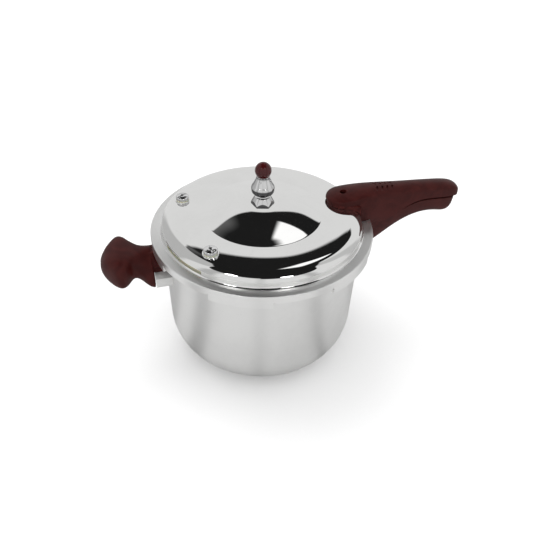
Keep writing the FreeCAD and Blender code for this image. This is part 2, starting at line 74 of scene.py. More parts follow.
POT_R = 111.0
COLLAR_TOP = reach("pot_shell", "z", 1)
LUG_R = 119.6
BRIM_R = 123.0
DOME_TOP = 190.2
LID_T = 2.2
BRIM_TOP = 165.3
SKIRT_LOW = 156.5
HOOK_LOW = reach("lid_shell", "z", 0)
WEIGHT_LOW = reach("weight_body", "z", 0)
HANDLE_END = reach("lid_handle", "x", 1)
LUG_MIDDLE = 5.5
LUG_ARC = 30.0
HANDLE_GAP = 1.9
print(f"dome top {DOME_TOP:.1f}, hooks {HOOK_LOW:.1f}, weight {WEIGHT_LOW:.1f}, handle end {HANDLE_END:.1f}")

# %% [markdown]
# ## Drawing an outline point by point
#
# Pressed and turned parts all start as half of their cross-section. In Blender that is one vertex, extruded from
# point to point. A plane merged to a single vertex gives the start. Straight runs need only their end points. A
# round stretch is written as a point on the arc and its end, and is divided here, so that its smoothness is one
# number instead of a long list.

# %% Trace straight runs and arcs
LONGEST = 6.0


def arc(start, through, end, turn=6.0):
    """Points along the circle through three places, one every few degrees, without the first."""
    ax, ay = start
    bx, by = through
    cx, cy = end
    d = 2 * (ax * (by - cy) + bx * (cy - ay) + cx * (ay - by))
    a2, b2, c2 = ax * ax + ay * ay, bx * bx + by * by, cx * cx + cy * cy
    mx = (a2 * (by - cy) + b2 * (cy - ay) + c2 * (ay - by)) / d
    my = (a2 * (cx - bx) + b2 * (ax - cx) + c2 * (bx - ax)) / d
    radius = math.hypot(ax - mx, ay - my)
    first = math.atan2(ay - my, ax - mx)
    sweep = math.atan2(cy - my, cx - mx) - first
    middle = math.atan2(by - my, bx - mx) - first
    full = 2 * math.pi
    if (middle % full) < (sweep % full):
        sweep = sweep % full
    else:
        sweep = sweep % full - full
    count = max(2, round(abs(math.degrees(sweep)) / turn), round(abs(sweep) * radius / LONGEST))
    angles = [first + sweep * step / count for step in range(1, count + 1)]
    return [(mx + radius * math.cos(a), my + radius * math.sin(a)) for a in angles]


def trace(path, turn=6.0):
    """An outline from (x, y) corners and (via x, via y, end x, end y) arcs."""
    points = [path[0]]
    for step in path[1:]:
        points += [step] if len(step) == 2 else arc(points[-1], step[:2], step[2:], turn)
    return points


def deselect_all():
    if bpy.context.object and bpy.context.object.mode != "OBJECT":
        bpy.ops.object.mode_set(mode="OBJECT")
    bpy.ops.object.select_all(action="DESELECT")


def activate(piece):
    """Selects one piece alone and makes it the active one."""
    deselect_all()
    piece.select_set(True)
    bpy.context.view_layer.objects.active = piece


def draw(name, places):
    """A single vertex, extruded from place to place."""
    deselect_all()
    bpy.ops.mesh.primitive_plane_add(size=MM, location=(0, 0, 0))
    piece = bpy.context.object
    piece.name = name
    bpy.ops.object.mode_set(mode="EDIT")
    bpy.ops.mesh.merge(type="CENTER")
    bpy.ops.transform.translate(value=Vector(places[0]) * MM)
    for here, there in zip(places, places[1:]):
        move = (Vector(there) - Vector(here)) * MM
        bpy.ops.mesh.extrude_region_move(TRANSFORM_OT_translate={"value": move})
    bpy.ops.object.mode_set(mode="OBJECT")
    return piece


# %% [markdown]
# ## Spinning
#
# The lathe turns the outline round the cooker's own axis. The doubled seam is merged, the poles close by themselves
# and the normals are made to face out. 192 steps keep a mirror finish free of facets, and they divide evenly into
# the six bayonet lugs, so a lug begins and ends on an edge of the mesh. Small parts need fewer steps.

# %% Spin an outline into a solid
STEPS = 192
FIRST_ANGLE = LUG_MIDDLE - LUG_ARC / 2.0
MERGE = 0.002 * MM


def spin(name, path, steps=STEPS, turn=6.0):
    """Spins an outline of (radius, height) round the axis. An outline that misses the axis is a ring."""
    points = trace(path, turn)
    if points[0][0] > 0:
        points.append(points[0])
    first = math.radians(FIRST_ANGLE)
    places = [(r * math.cos(first), r * math.sin(first), z) for r, z in points]
    piece = draw(name, places)
    bpy.ops.object.mode_set(mode="EDIT")
    bpy.ops.mesh.select_all(action="SELECT")
    bpy.ops.mesh.spin(steps=steps, angle=2 * math.pi, center=(0, 0, 0), axis=(0, 0, 1))
    bpy.ops.mesh.select_all(action="SELECT")
    bpy.ops.mesh.remove_doubles(threshold=MERGE)
    bpy.ops.mesh.normals_make_consistent(inside=False)
    bpy.ops.object.mode_set(mode="OBJECT")
    return piece


def smooth(piece, degrees=35.0):
    """Rounds the shading everywhere but across sharp corners."""
    activate(piece)
    bpy.ops.object.shade_smooth_by_angle(angle=math.radians(degrees))


# %% [markdown]
# ## Selecting, cutting and rounding
#
# A maker picks faces by where they are: the rim between two angles, the wall of a slot. The same is done here with
# a test on each face's middle. Cuts use the Boolean modifier with a cutter that is thrown away afterwards, and
# corners are rounded by a Bevel modifier that only acts on real corners.

# %% Helpers for faces and modifiers
def bearing(place):
    """Angle of a place round the cooker's axis, in degrees."""
    return math.degrees(math.atan2(place.y, place.x))


def in_lug(place, arc_length=LUG_ARC):
    """Whether a place lies in one of the six bayonet lugs."""
    off = (bearing(place) - LUG_MIDDLE + 30.0) % 60.0 - 30.0
    return abs(off) < arc_length / 2.0


def radius_mm(place):
    return math.hypot(place.x, place.y) / MM


def select_faces(piece, test):
    """Enters edit mode with only the faces selected whose middle passes the test."""
    activate(piece)
    bpy.ops.object.mode_set(mode="EDIT")
    bpy.ops.mesh.select_mode(type="FACE")
    bpy.ops.mesh.select_all(action="DESELECT")
    bpy.ops.object.mode_set(mode="OBJECT")
    for face in piece.data.polygons:
        face.select = test(face.center, face.normal)
    bpy.ops.object.mode_set(mode="EDIT")


def leave_edit():
    bpy.ops.mesh.select_mode(type="VERT")
    bpy.ops.object.mode_set(mode="OBJECT")


def extrude(height):
    """Extrudes the selection straight up or down, in millimetres."""
    bpy.ops.mesh.extrude_region_move(TRANSFORM_OT_translate={"value": (0, 0, height * MM)})


def push_out(grow):
    """Extrudes the selected faces from or to the cooker's axis, and leaves edit mode."""
    extrude(0)
    bpy.ops.transform.resize(value=(grow, grow, 1), center_override=(0, 0, 0))
    leave_edit()


def face_out(piece):
    """Makes every face of a piece look outwards."""
    activate(piece)
    bpy.ops.object.mode_set(mode="EDIT")
    bpy.ops.mesh.select_all(action="SELECT")
    bpy.ops.mesh.normals_make_consistent(inside=False)
    bpy.ops.object.mode_set(mode="OBJECT")


def apply(piece, modifier):
    activate(piece)
    bpy.ops.object.modifier_apply(modifier=modifier.name)


def cut(piece, cutter, operation="DIFFERENCE"):
    """Cuts, joins or intersects a piece with another, which is then removed."""
    step = piece.modifiers.new("cut", "BOOLEAN")
    step.operation = operation
    step.solver = "EXACT"
    step.object = cutter
    apply(piece, step)
    bpy.data.objects.remove(cutter)


def join(pieces):
    """Makes one object of several, all in the same place."""
    deselect_all()
    for piece in pieces:
        piece.select_set(True)
    bpy.context.view_layer.objects.active = pieces[0]
    bpy.ops.object.join()
    return pieces[0]


def round_corners(piece, width, degrees=40.0, segments=2):
    step = piece.modifiers.new("corners", "BEVEL")
    step.width = width * MM
    step.segments = segments
    step.limit_method = "ANGLE"
    step.angle_limit = math.radians(degrees)
    step.harden_normals = False
    apply(piece, step)


def block(name, low, high):
    """A box between two corners, in millimetres."""
    deselect_all()
    low, high = Vector(low) * MM, Vector(high) * MM
    bpy.ops.mesh.primitive_cube_add(size=1.0, location=(low + high) / 2)
    piece = bpy.context.object
    piece.name = name
    piece.scale = high - low
    bpy.ops.object.transform_apply(location=True, rotation=True, scale=True)
    return piece


def rod(name, radius, start, end, sides=32):
    """A straight bar between two places, for cutting a hole."""
    deselect_all()
    start, end = Vector(start) * MM, Vector(end) * MM
    turn = (end - start).to_track_quat("Z", "Y").to_euler()
    bpy.ops.mesh.primitive_cylinder_add(
        vertices=sides, radius=radius * MM, depth=(end - start).length, location=(start + end) / 2, rotation=turn)
    piece = bpy.context.object
    piece.name = name
    bpy.ops.object.transform_apply(location=True, rotation=True, scale=True)
    return piece


def drill(piece, radius, x, low, high, sides=32):
    """Drills an upright round hole in the plane of the long handles."""
    cut(piece, rod("drill", radius, (x, 0, low), (x, 0, high), sides))


def finish(piece, body, slot, *nodes):
    """Seats a finished piece on its body, in place of its CAD solids."""
    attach(piece, body)
    if nodes:
        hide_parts(*nodes)
    size = piece.dimensions / MM
    print(f"{piece.name}: {len(piece.data.polygons)} faces, {size.x:.1f} x {size.y:.1f} x {size.z:.1f} mm")


# %% [markdown]
# ## The pot
#
# A pressed pot has a floor that runs into the wall by a very large corner, a bayonet flange and a thin collar that
# stands up inside the lid. The whole wall is one outline, out along the outside and back along the inside. The six
# lugs are pulled out of the flange afterwards: the faces on its rim are extruded and scaled away from the axis,
# which keeps them part of the same pressing.

# %% Spin the pot and pull out its lugs
LUG_ROOT = 112.8
FLANGE_LOW, FLANGE_TOP = 153.6, 156.8
COLLAR_R, MOUTH_R = 105.3, 102.8
POT_LUG_ARC = 26.0
POT_T, FLOOR_T = 2.5, 4.0
CORNER_TOP = 50.0


def make_pot():
    inner = POT_R - POT_T
    pot = spin("pot_spun", [
        (0.0, 0.0), (56.0, 0.0), (61.0, 0.0), (96.36, 14.64, POT_R, CORNER_TOP),
        (POT_R, 100.0), (POT_R, FLANGE_LOW - 0.8), (POT_R + 0.24, FLANGE_LOW - 0.24, POT_R + 0.8, FLANGE_LOW),
        (LUG_ROOT - 0.4, FLANGE_LOW), (LUG_ROOT, FLANGE_LOW + 0.4), (LUG_ROOT, FLANGE_TOP - 0.4),
        (LUG_ROOT - 0.4, FLANGE_TOP), (COLLAR_R + 0.6, FLANGE_TOP), (COLLAR_R, FLANGE_TOP + 0.6),
        (COLLAR_R, COLLAR_TOP - 0.8), (COLLAR_R - 0.25, COLLAR_TOP - 0.25, COLLAR_R - 0.8, COLLAR_TOP),
        (MOUTH_R + 0.8, COLLAR_TOP), (MOUTH_R + 0.25, COLLAR_TOP - 0.25, MOUTH_R, COLLAR_TOP - 0.8),
        (MOUTH_R, FLANGE_TOP - 1.5), (inner, FLANGE_LOW - 5.0), (inner, CORNER_TOP),
        (95.03, 17.47, 62.5, FLOOR_T), (0.0, FLOOR_T),
    ])
    middle = (FLANGE_LOW + FLANGE_TOP) / 2 * MM
    select_faces(pot, lambda place, normal: abs(place.z - middle) < 1.3 * MM
                 and radius_mm(place) > LUG_ROOT - 0.5 and in_lug(place, POT_LUG_ARC))
    push_out(LUG_R / LUG_ROOT)
    smooth(pot)
    finish(pot, "pot", "satin_aluminium", "pot_shell")


make_pot()

# %% [markdown]
# ## The lid
#
# The lid is one stamping: a shallow dome, a crease, an outer ring that falls over a shoulder to a short upright
# wall, a flat brim and a skirt. Its outline is closed round the sheet's own thickness. The window in the wall, where
# the gasket can blow out, is made as a press does it: faces are taken away from both skins and the two holes are
# bridged. The hooks are the skirt's lower edge, extruded down and then inwards.

# %% Spin the lid
CREASE_R, CREASE_TOP = 66.0, 180.5
WALL_R = 110.6
HOOK_T, HOOK_IN = 2.5, 113.5
WINDOW_LOW, WINDOW_HIGH = 166.6, 171.0
WINDOW_ARC = (-167.0, -137.0)
SEAT_TOP = DOME_TOP - 0.4
VENT_HOLE_R, SEAT_EDGE_R = 6.05, 13.2
BRIM_DISH = 0.35
SKIRT_IN = BRIM_R - LID_T


def make_lid():
    wall_in = WALL_R - LID_T
    under = BRIM_TOP - LID_T
    return spin("lid_spun", [
        (VENT_HOLE_R, SEAT_TOP), (SEAT_EDGE_R, SEAT_TOP), (14.1, SEAT_TOP),
        (35.0, 187.5, CREASE_R - 1.4, CREASE_TOP + 0.34),
        (CREASE_R, CREASE_TOP + 0.06, CREASE_R + 1.4, CREASE_TOP + 0.08), (82.0, 180.62, 97.0, 180.0),
        (102.6, 178.85, 106.8, 176.7), (109.18, 174.39, WALL_R, 171.4),
        (WALL_R, WINDOW_HIGH), (WALL_R, 169.6), (WALL_R, 168.2),
        (111.0, 166.3, 112.9, BRIM_TOP - BRIM_DISH), (121.2, BRIM_TOP), (122.5, 164.7, BRIM_R, 163.4),
        (BRIM_R, 160.0), (BRIM_R, SKIRT_LOW), (SKIRT_IN, SKIRT_LOW), (SKIRT_IN, 162.3),
        (120.5, 162.9, 119.8, under), (110.3, under), (109.0, 163.7, wall_in, 165.2),
        (wall_in, 168.2), (wall_in, 169.6), (wall_in, WINDOW_HIGH), (106.4, 174.4, 101.7, 176.3),
        (94.3, 177.8, 83.9, 178.6), (75.0, 178.7, CREASE_R + 0.1, CREASE_TOP - LID_T),
        (34.0, 185.4, 14.1, SEAT_TOP - LID_T + 0.1), (SEAT_EDGE_R, SEAT_TOP - LID_T), (VENT_HOLE_R, SEAT_TOP - LID_T),
    ])


def open_window(lid):
    first, last = WINDOW_ARC
    select_faces(lid, lambda place, normal: first < bearing(place) < last
                 and WALL_R - LID_T - 0.2 < radius_mm(place) < WALL_R + 0.2
                 and WINDOW_LOW * MM < place.z < WINDOW_HIGH * MM)
    bpy.ops.mesh.delete(type="FACE")
    bpy.ops.mesh.select_all(action="DESELECT")
    bpy.ops.mesh.select_mode(type="EDGE")
    bpy.ops.mesh.select_non_manifold()
    bpy.ops.mesh.bridge_edge_loops()
    leave_edit()


def pull_hooks(lid):
    rim = SKIRT_LOW * MM
    select_faces(lid, lambda place, normal: abs(place.z - rim) < 0.01 * MM and in_lug(place))
    extrude(HOOK_LOW + HOOK_T - SKIRT_LOW)
    extrude(-HOOK_T)
    leave_edit()
    select_faces(lid, lambda place, normal: HOOK_LOW * MM < place.z < (HOOK_LOW + HOOK_T) * MM
                 and abs(radius_mm(place) - SKIRT_IN) < 0.1 and in_lug(place))
    push_out(HOOK_IN / SKIRT_IN)


lid = make_lid()
open_window(lid)
pull_hooks(lid)
print("lid:", len(lid.data.polygons), "faces")

# %% [markdown]
# ### Holes in the lid
#
# Each hook starts at a small round relief hole, which keeps the stamping from tearing. The valves and the pressure
# indicator sit on flat seats pressed into the ring. Each is a round recess that just swallows its washer.

# %% Cut the relief holes and press the valve seats
VALVE_R = 92.0
VALVE_ANGLES = (153.0, -138.0)
INDICATOR_X = 93.5
RELIEF_R = 1.5
SEAT_R, SEAT_Z = 8.4, 181.0
SEAT_T, VALVE_HOLE_R = 4.6, 4.5


def valve_place(angle):
    return VALVE_R * math.cos(math.radians(angle)), VALVE_R * math.sin(math.radians(angle))


def cut_relief_holes(lid):
    drills = []
    for lug in range(6):
        for side in (-1, 1):
            angle = math.radians(LUG_MIDDLE + 60 * lug + side * (LUG_ARC / 2 + 0.4))
            out = Vector((math.cos(angle), math.sin(angle), 0))
            low = Vector((0, 0, SKIRT_LOW))
            drills.append(rod("relief", RELIEF_R, out * (BRIM_R - 5) + low, out * (BRIM_R + 4) + low, sides=24))
    cut(lid, join(drills))


def press_seats(lid):
    seats = [valve_place(angle) for angle in VALVE_ANGLES] + [(INDICATOR_X, 0.0)]
    steps = (
        (SEAT_R, -SEAT_T, 0, 64, "UNION"), (SEAT_R, 0, 4, 64, "DIFFERENCE"),
        (VALVE_HOLE_R, -8, 4, 48, "DIFFERENCE"),
    )
    for radius, low, high, sides, operation in steps:
        tools = [rod("seat", radius, (x, y, SEAT_Z + low), (x, y, SEAT_Z + high), sides) for x, y in seats]
        cut(lid, join(tools), operation)


cut_relief_holes(lid)
press_seats(lid)
smooth(lid)
finish(lid, "lid", "mirror_aluminium", "lid_shell")

# %% [markdown]
# ## The gasket
#
# The silicone ring is a channel with two lips. Only a sliver of it shows, in the lid's window, but there its round
# outer corner catches the light, so the section has rounded corners all round.

# %% Spin the gasket
GASKET_OUT, GASKET_IN = 108.2, 99.5
LIP_T = 2.3
WEB_LOW, WEB_TOP = 169.2, 172.0
LIP_LOW = 163.5


def make_gasket():
    lip = GASKET_OUT - LIP_T
    gasket = spin("gasket_ring", [
        (GASKET_OUT, LIP_LOW + 0.4), (GASKET_OUT, WEB_TOP - 1.4),
        (GASKET_OUT - 0.4, WEB_TOP - 0.4, GASKET_OUT - 1.4, WEB_TOP),
        (GASKET_IN + 0.8, WEB_TOP), (GASKET_IN + 0.23, WEB_TOP - 0.23, GASKET_IN, WEB_TOP - 0.8),
        (GASKET_IN, LIP_LOW + 2.1), (GASKET_IN + 1.0, LIP_LOW + 1.3, GASKET_IN + 2.0, LIP_LOW + 2.1),
        (GASKET_IN + 2.0, WEB_LOW - 0.6), (GASKET_IN + 2.2, WEB_LOW - 0.2, GASKET_IN + 2.6, WEB_LOW),
        (lip - 0.6, WEB_LOW), (lip - 0.2, WEB_LOW - 0.2, lip, WEB_LOW - 0.6),
        (lip, LIP_LOW + 0.4), (lip + 0.12, LIP_LOW + 0.12, lip + 0.4, LIP_LOW),
        (GASKET_OUT - 0.4, LIP_LOW), (GASKET_OUT - 0.12, LIP_LOW + 0.12, GASKET_OUT, LIP_LOW + 0.4),
    ], turn=20.0)
    smooth(gasket)
    finish(gasket, "lid", "silicone", "gasket")


make_gasket()

# %% [markdown]
# ## The vent and its hexagon
#
# The vent pipe stands on a hexagon like that of a nut. Turning a hexagon's top to a cone leaves the bright curved
# edges that every nut has. The same is done here: a six-sided bar is intersected with a spun cone, and the pipe is
# joined to it.

# %% Make the vent pipe
HEX_FLATS = 22.2
HEX_LOW = DOME_TOP - 0.38
HEX_H = 9.6
HEX_TURN = -14.0
VENT_LOW, VENT_STEP, VENT_SHOULDER, VENT_TOP = 171.5, 193.0, 208.0, 214.0
SHANK_R, PIPE_R, NOZZLE_R, VENT_BORE_R = 5.9, 5.0, 3.8, 1.6


def make_vent():
    corner_r = HEX_FLATS / math.sqrt(3)
    vent = rod("vent_pipe_turned", corner_r, (0, 0, HEX_LOW), (0, 0, HEX_LOW + HEX_H), sides=6)
    bpy.ops.transform.rotate(value=-math.radians(HEX_TURN + 30.0), orient_axis="Z", center_override=(0, 0, 0))
    bpy.ops.object.transform_apply(location=True, rotation=True, scale=True)
    cone = spin("cone", [
        (0.0, HEX_LOW - 1), (corner_r + 1, HEX_LOW - 1), (corner_r + 0.1, HEX_LOW), (corner_r + 0.1, HEX_LOW + 1.8),
        (8.6, HEX_LOW + HEX_H - 0.15), (8.2, HEX_LOW + HEX_H), (0.0, HEX_LOW + HEX_H),
    ], steps=96)
    cut(vent, cone, "INTERSECT")
    round_corners(vent, 0.25, degrees=25.0)
    pipe = spin("pipe", [
        (VENT_BORE_R, VENT_LOW), (SHANK_R, VENT_LOW), (SHANK_R, VENT_STEP), (PIPE_R, VENT_STEP),
        (PIPE_R, VENT_SHOULDER), (NOZZLE_R, VENT_SHOULDER + 2.0), (NOZZLE_R, VENT_TOP - 1.0),
        (2.8, VENT_TOP), (VENT_BORE_R, VENT_TOP),
    ], steps=64)
    drill(vent, 4.0, 0, 170, 220, sides=64)
    cut(vent, pipe, "UNION")
    smooth(vent, 30.0)
    finish(vent, "lid", "polished_steel", "vent_pipe")


make_vent()

# %% [markdown]
# ## The pressure weight
#
# The weight is turned from bar like a small vase and drilled through its neck to let steam out. Its ball is
# moulded on. Both are spun with fine steps, because a polished vase shows every facet, and the four steam holes
# are drilled with a Boolean. The needle that stops the vent is pressed into both. It is spun here too, because the
# polished dome would otherwise mirror the CAD solid inside the weight.

# %% Turn the weight, its knob and its needle
WEIGHT_TOP = reach("weight_body", "z", 1)
KNOB_MIDDLE, KNOB_R, KNOB_NECK_R = 230.0, 8.8, 6.8
HOLE_Z, HOLE_R, HOLE_ANGLE = 219.3, 1.2, -125.0
STEAM_ROOM_LOW, STEAM_ROOM_TOP, NEEDLE_BORE_R = 217.0, 220.6, 2.5


def make_weight():
    z = WEIGHT_LOW
    weight = spin("weight_turned", [
        (5.5, z + 0.3), (5.9, z), (7.8, z), (11.3, z + 1.7, 12.4, z + 5.2), (12.3, z + 8.4, 10.9, z + 10.8),
        (9.7, z + 13.2, 8.4, z + 16.0), (7.5, z + 18.2, 7.1, WEIGHT_TOP - 0.3), (6.8, WEIGHT_TOP),
        (NEEDLE_BORE_R, WEIGHT_TOP), (NEEDLE_BORE_R, STEAM_ROOM_TOP), (4.6, STEAM_ROOM_TOP), (4.6, STEAM_ROOM_LOW),
        (6.6, STEAM_ROOM_LOW), (6.6, z + 3.2), (5.5, z + 3.2),
    ], steps=128, turn=3.0)
    for step in range(4):
        angle = math.radians(HOLE_ANGLE + 90 * step)
        out = Vector((math.cos(angle), math.sin(angle), 0))
        up = Vector((0, 0, HOLE_Z))
        cut(weight, rod("steam", HOLE_R, out * 3.6 + up, out * 14 + up, sides=24))
    smooth(weight)
    finish(weight, "weight", "polished_steel", "weight_body")


def make_knob():
    low = WEIGHT_TOP + 0.05
    neck = KNOB_NECK_R
    side = math.sqrt(KNOB_R ** 2 - neck ** 2)
    bore_top = 231.6
    knob = spin("weight_ball", [
        (0.0, bore_top), (NEEDLE_BORE_R, bore_top), (NEEDLE_BORE_R, low), (neck - 0.4, low),
        (neck - 0.1, low + 0.1, neck, low + 0.5),
        (neck, KNOB_MIDDLE - side), (KNOB_R, KNOB_MIDDLE, 0.0, KNOB_MIDDLE + KNOB_R),
    ], steps=96, turn=5.0)
    smooth(knob, 50.0)
    finish(knob, "weight", "gloss_bakelite", "weight_knob")


def make_needle():
    needle = spin("weight_needle_turned", [
        (0.0, 213.4), (0.3, 213.4), (1.6, 214.8), (4.5, 214.9), (4.5, 215.9), (2.49, 216.0),
        (2.49, 231.5), (0.0, 231.5),
    ], steps=48)
    smooth(needle)
    finish(needle, "weight", "polished_steel", "weight_needle")


make_weight()
make_knob()
make_needle()

# %% [markdown]
# ## Relief valve caps
#
# Each relief valve is closed by a turned cap, domed, with a screwdriver slot and a small steam hole. The cap is
# spun with its hole and slotted once, at the cooker's middle, then turned and moved to each valve. Its slot is
# polished steel, as the record says, and its finish a variant of that with less painted shade at its rims.

# %% Turn the two relief valve caps
CAP_R, CAP_H = 7.2, 4.3
CAP_LOW = SEAT_Z + 0.8
SLOT_W, SLOT_DEPTH = 1.6, 1.1
SLOT_TURN = 60.0


def make_cap():
    low, top = CAP_LOW, CAP_LOW + CAP_H
    shank, spring_low, spring_top = SEAT_Z - 9.5, SEAT_Z - 8.0, SEAT_Z + 2.4
    hole_r, spring_r, shank_r = 1.4, 3.0, 4.4
    cap = spin("cap", [
        (hole_r, shank), (shank_r, shank), (shank_r, low), (CAP_R - 0.3, low), (CAP_R, low + 0.3), (CAP_R, low + 2.4),
        (CAP_R - 0.3, low + 3.3, CAP_R - 1.3, low + 3.75), (4.0, top - 0.08, hole_r, top), (hole_r, spring_top),
        (spring_r, spring_top), (spring_r, spring_low), (hole_r, spring_low),
    ], steps=64)
    half = SLOT_W / 2
    cut(cap, block("slot", (-9, -half, top - SLOT_DEPTH), (9, half, top + 2)))
    return cap


def place_caps(pattern):
    for number, angle in enumerate(VALVE_ANGLES, start=1):
        cap = pattern.copy()
        cap.data = pattern.data.copy()
        cap.name = f"relief_cap_{number}"
        bpy.context.collection.objects.link(cap)
        activate(cap)
        x, y = valve_place(angle)
        bpy.ops.transform.rotate(
            value=-math.radians(angle + SLOT_TURN), orient_axis="Z", center_override=(0, 0, 0))
        bpy.ops.transform.translate(value=Vector((x, y, 0)) * MM)
        bpy.ops.object.transform_apply(location=True, rotation=True, scale=True)
        round_corners(cap, 0.15, degrees=50.0)
        smooth(cap, 30.0)
        finish(cap, "lid", "polished_steel", f"relief_valve_{number}_cap")
    bpy.data.objects.remove(pattern)


place_caps(make_cap())

# %% [markdown]
# ## Lofting a moulded handle
#
# The handles are moulded in phenolic resin, with a rounded ridge along the top and sides that flow in and out. They
# could be sculpted, but a loft keeps their sizes: half of each cross-section is drawn as a chain of vertices, the
# chains are bridged one after another, the open middle is closed by a Mirror modifier and the whole is rounded by
# Subdivision Surface. Moving one section changes the form only near it.

# %% Loft half-sections into a closed form
def pick_chains(piece, first, last, count):
    """Selects the vertices of a run of chains, of count vertices each. It starts and ends in edit mode."""
    bpy.ops.mesh.select_all(action="DESELECT")
    bpy.ops.object.mode_set(mode="OBJECT")
    for vertex in range(first * count, (last + 1) * count):
        piece.data.vertices[vertex].select = True
    bpy.ops.object.mode_set(mode="EDIT")


def loft(name, sections, levels=3):
    """Bridges half-sections, each a list of (x, y, z) from the ridge round to the underside."""
    chains = [draw(f"{name}_{number}", places) for number, places in enumerate(sections)]
    count, ends = len(sections[0]), len(sections) - 1
    piece = join(chains)
    piece.name = name
    bpy.ops.object.mode_set(mode="EDIT")
    bpy.ops.mesh.select_mode(type="VERT")
    for number in range(ends):
        pick_chains(piece, number, number + 1, count)
        bpy.ops.mesh.bridge_edge_loops()
    for end in (0, ends):
        pick_chains(piece, end, end, count)
        bpy.ops.mesh.edge_face_add()
    face_out(piece)
    half = piece.modifiers.new("other half", "MIRROR")
    half.use_axis = (False, True, False)
    half.use_clip = True
    half.merge_threshold = MERGE
    apply(piece, half)
    rounding = piece.modifiers.new("rounding", "SUBSURF")
    rounding.levels = rounding.render_levels = levels
    apply(piece, rounding)
    face_out(piece)
    return piece


# %% [markdown]
# ## The joint between the long handles
#
# The lower side of the lid's handle and the upper side of the pot's handle follow one line. Because the line
# depends only on the distance from the cooker's axis, the lid can turn without the handles meeting. Both handles
# are lofted too deep, and a spun cutter with this line trims each of them to its side of the gap.

# %% Cutters for the joint and for the lid
JOINT_LINE = [
    (124.2, 160.4), (132.0, 159.0), (141.0, 157.9), (151.0, 159.8), (162.0, 164.7),
    (174.0, 171.6), (186.0, 175.2), (199.0, 176.0), (225.0, 174.8), (256.0, 174.0),
]
FAR_R = JOINT_LINE[-1][0]
HOOK_ROOM_R, HOOK_ROOM_LOW = BRIM_R + 1.2, HOOK_LOW - 0.6


def rounded_line(corners, parts=6):
    """A smooth line through the corners (Catmull-Rom)."""
    line = [corners[0]]
    padded = [corners[0]] + corners + [corners[-1]]
    for a, b, c, d in zip(padded, padded[1:], padded[2:], padded[3:]):
        for step in range(1, parts + 1):
            t = step / parts
            line.append(tuple(
                0.5 * (2 * q + (r - p) * t + (2 * p - 5 * q + 4 * r - s) * t * t + (3 * q - p - 3 * r + s) * t ** 3)
                for p, q, r, s in zip(a, b, c, d)))
    return line


def joint_line(shift):
    return [(r, z + shift) for r, z in rounded_line(JOINT_LINE)]


def below_lid_handle():
    """What the lid's handle must stay out of: the lid with 0.3 mm to spare, and the side of the pot's handle."""
    gap = 0.3
    return spin("below", [
        (0.0, DOME_TOP + gap), (34.0, 187.6 + gap, CREASE_R, CREASE_TOP + gap),
        (82.0, 180.65 + gap, 97.0, 180.0 + gap), (102.6 + gap, 178.85 + gap, 106.8 + gap, 176.7 + gap),
        (109.18 + gap, 174.39 + gap, WALL_R + gap, 171.4), (WALL_R + gap, 168.2),
        (111.0 + gap, 166.3 + gap, 112.9, BRIM_TOP + gap), (121.2, BRIM_TOP + gap),
        (122.5 + gap, 164.7 + gap, BRIM_R + gap, 163.4),
    ] + [(BRIM_R + gap, JOINT_LINE[0][1])] + joint_line(0.0) + [(FAR_R, 100.0), (0.0, 100.0)])


def above_pot_handle():
    """What the pot's handle must stay out of: the turning hooks and the side of the lid's handle."""
    return spin("above", [(0.0, HOOK_ROOM_LOW), (HOOK_ROOM_R, HOOK_ROOM_LOW)]
                + joint_line(-HANDLE_GAP) + [(FAR_R, 215.0), (0.0, 215.0)])


# %% [markdown]
# ## The lid's handle
#
# The handle starts as a pointed oval head on the lid, widens over the brim and runs out to a rounded grip. Seen from
# the side its top is almost straight; seen from the end it is a low roof, with a soft ridge on each shoulder. Each
# row below is one cross-section: how high its foot, shoulder and crown are, and how wide its foot and shoulder.

# %% Loft the lid's handle
LID_HANDLE_ROWS = [
    # x, foot height, shoulder height, crown height, foot half-width, shoulder half-width
    (74.6, 180.0, 184.6, 185.8, 3.5, 3.0),
    (76.3, 180.0, 185.9, 187.4, 9.0, 8.4),
    (80.5, 180.0, 187.1, 189.2, 14.8, 14.0),
    (87.0, 180.0, 188.2, 191.0, 19.0, 17.6),
    (95.5, 178.0, 189.1, 192.4, 22.0, 18.6),
    (107.0, 168.0, 189.8, 193.9, 25.4, 18.0),
    (119.0, 156.0, 190.3, 194.8, 24.8, 16.9),
    (132.0, 150.0, 190.4, 195.0, 21.3, 15.2),
    (146.0, 150.0, 189.9, 194.6, 18.3, 13.9),
    (163.0, 154.0, 189.0, 193.7, 16.2, 12.9),
    (183.0, 158.0, 188.2, 192.8, 14.6, 12.3),
    (205.0, 160.0, 187.1, 191.4, 13.5, 12.0),
    (220.0, 160.0, 186.1, 190.2, 13.1, 11.8),
    (229.0, 160.0, 184.8, 188.6, 12.9, 11.6),
    (235.0, 160.0, 183.2, 186.6, 12.0, 10.6),
    (238.4, 160.0, 181.2, 184.0, 9.6, 8.4),
    (239.9, 160.0, 178.6, 180.6, 6.0, 5.2),
    (240.1, 161.0, 176.8, 178.2, 3.0, 2.6),
]
HEAD_LOW = 184.2
HEAD_END = 107.0
WINDOW_R = 4.0
GUIDE_ROOM_R, GUIDE_ROOM_TOP = 8.6, 188.4


def crowned(x, foot, shoulder, crown, foot_w, shoulder_w):
    """Half a cross-section: ridge, roof, rounded shoulder, side and foot."""
    return [
        (x, 0.0, crown),
        (x, 0.45 * shoulder_w, crown - 0.10 * (crown - shoulder)),
        (x, 0.84 * shoulder_w, shoulder + 0.42 * (crown - shoulder)),
        (x, shoulder_w, shoulder - 0.2),
        (x, shoulder_w + 0.22 * (foot_w - shoulder_w), shoulder - 0.22 * (shoulder - foot)),
        (x, foot_w - 0.2 * (foot_w - shoulder_w), foot + 0.35 * (shoulder - foot)),
        (x, foot_w, foot + 1.0),
        (x, foot_w - 1.0, foot),
        (x, 0.0, foot),
    ]


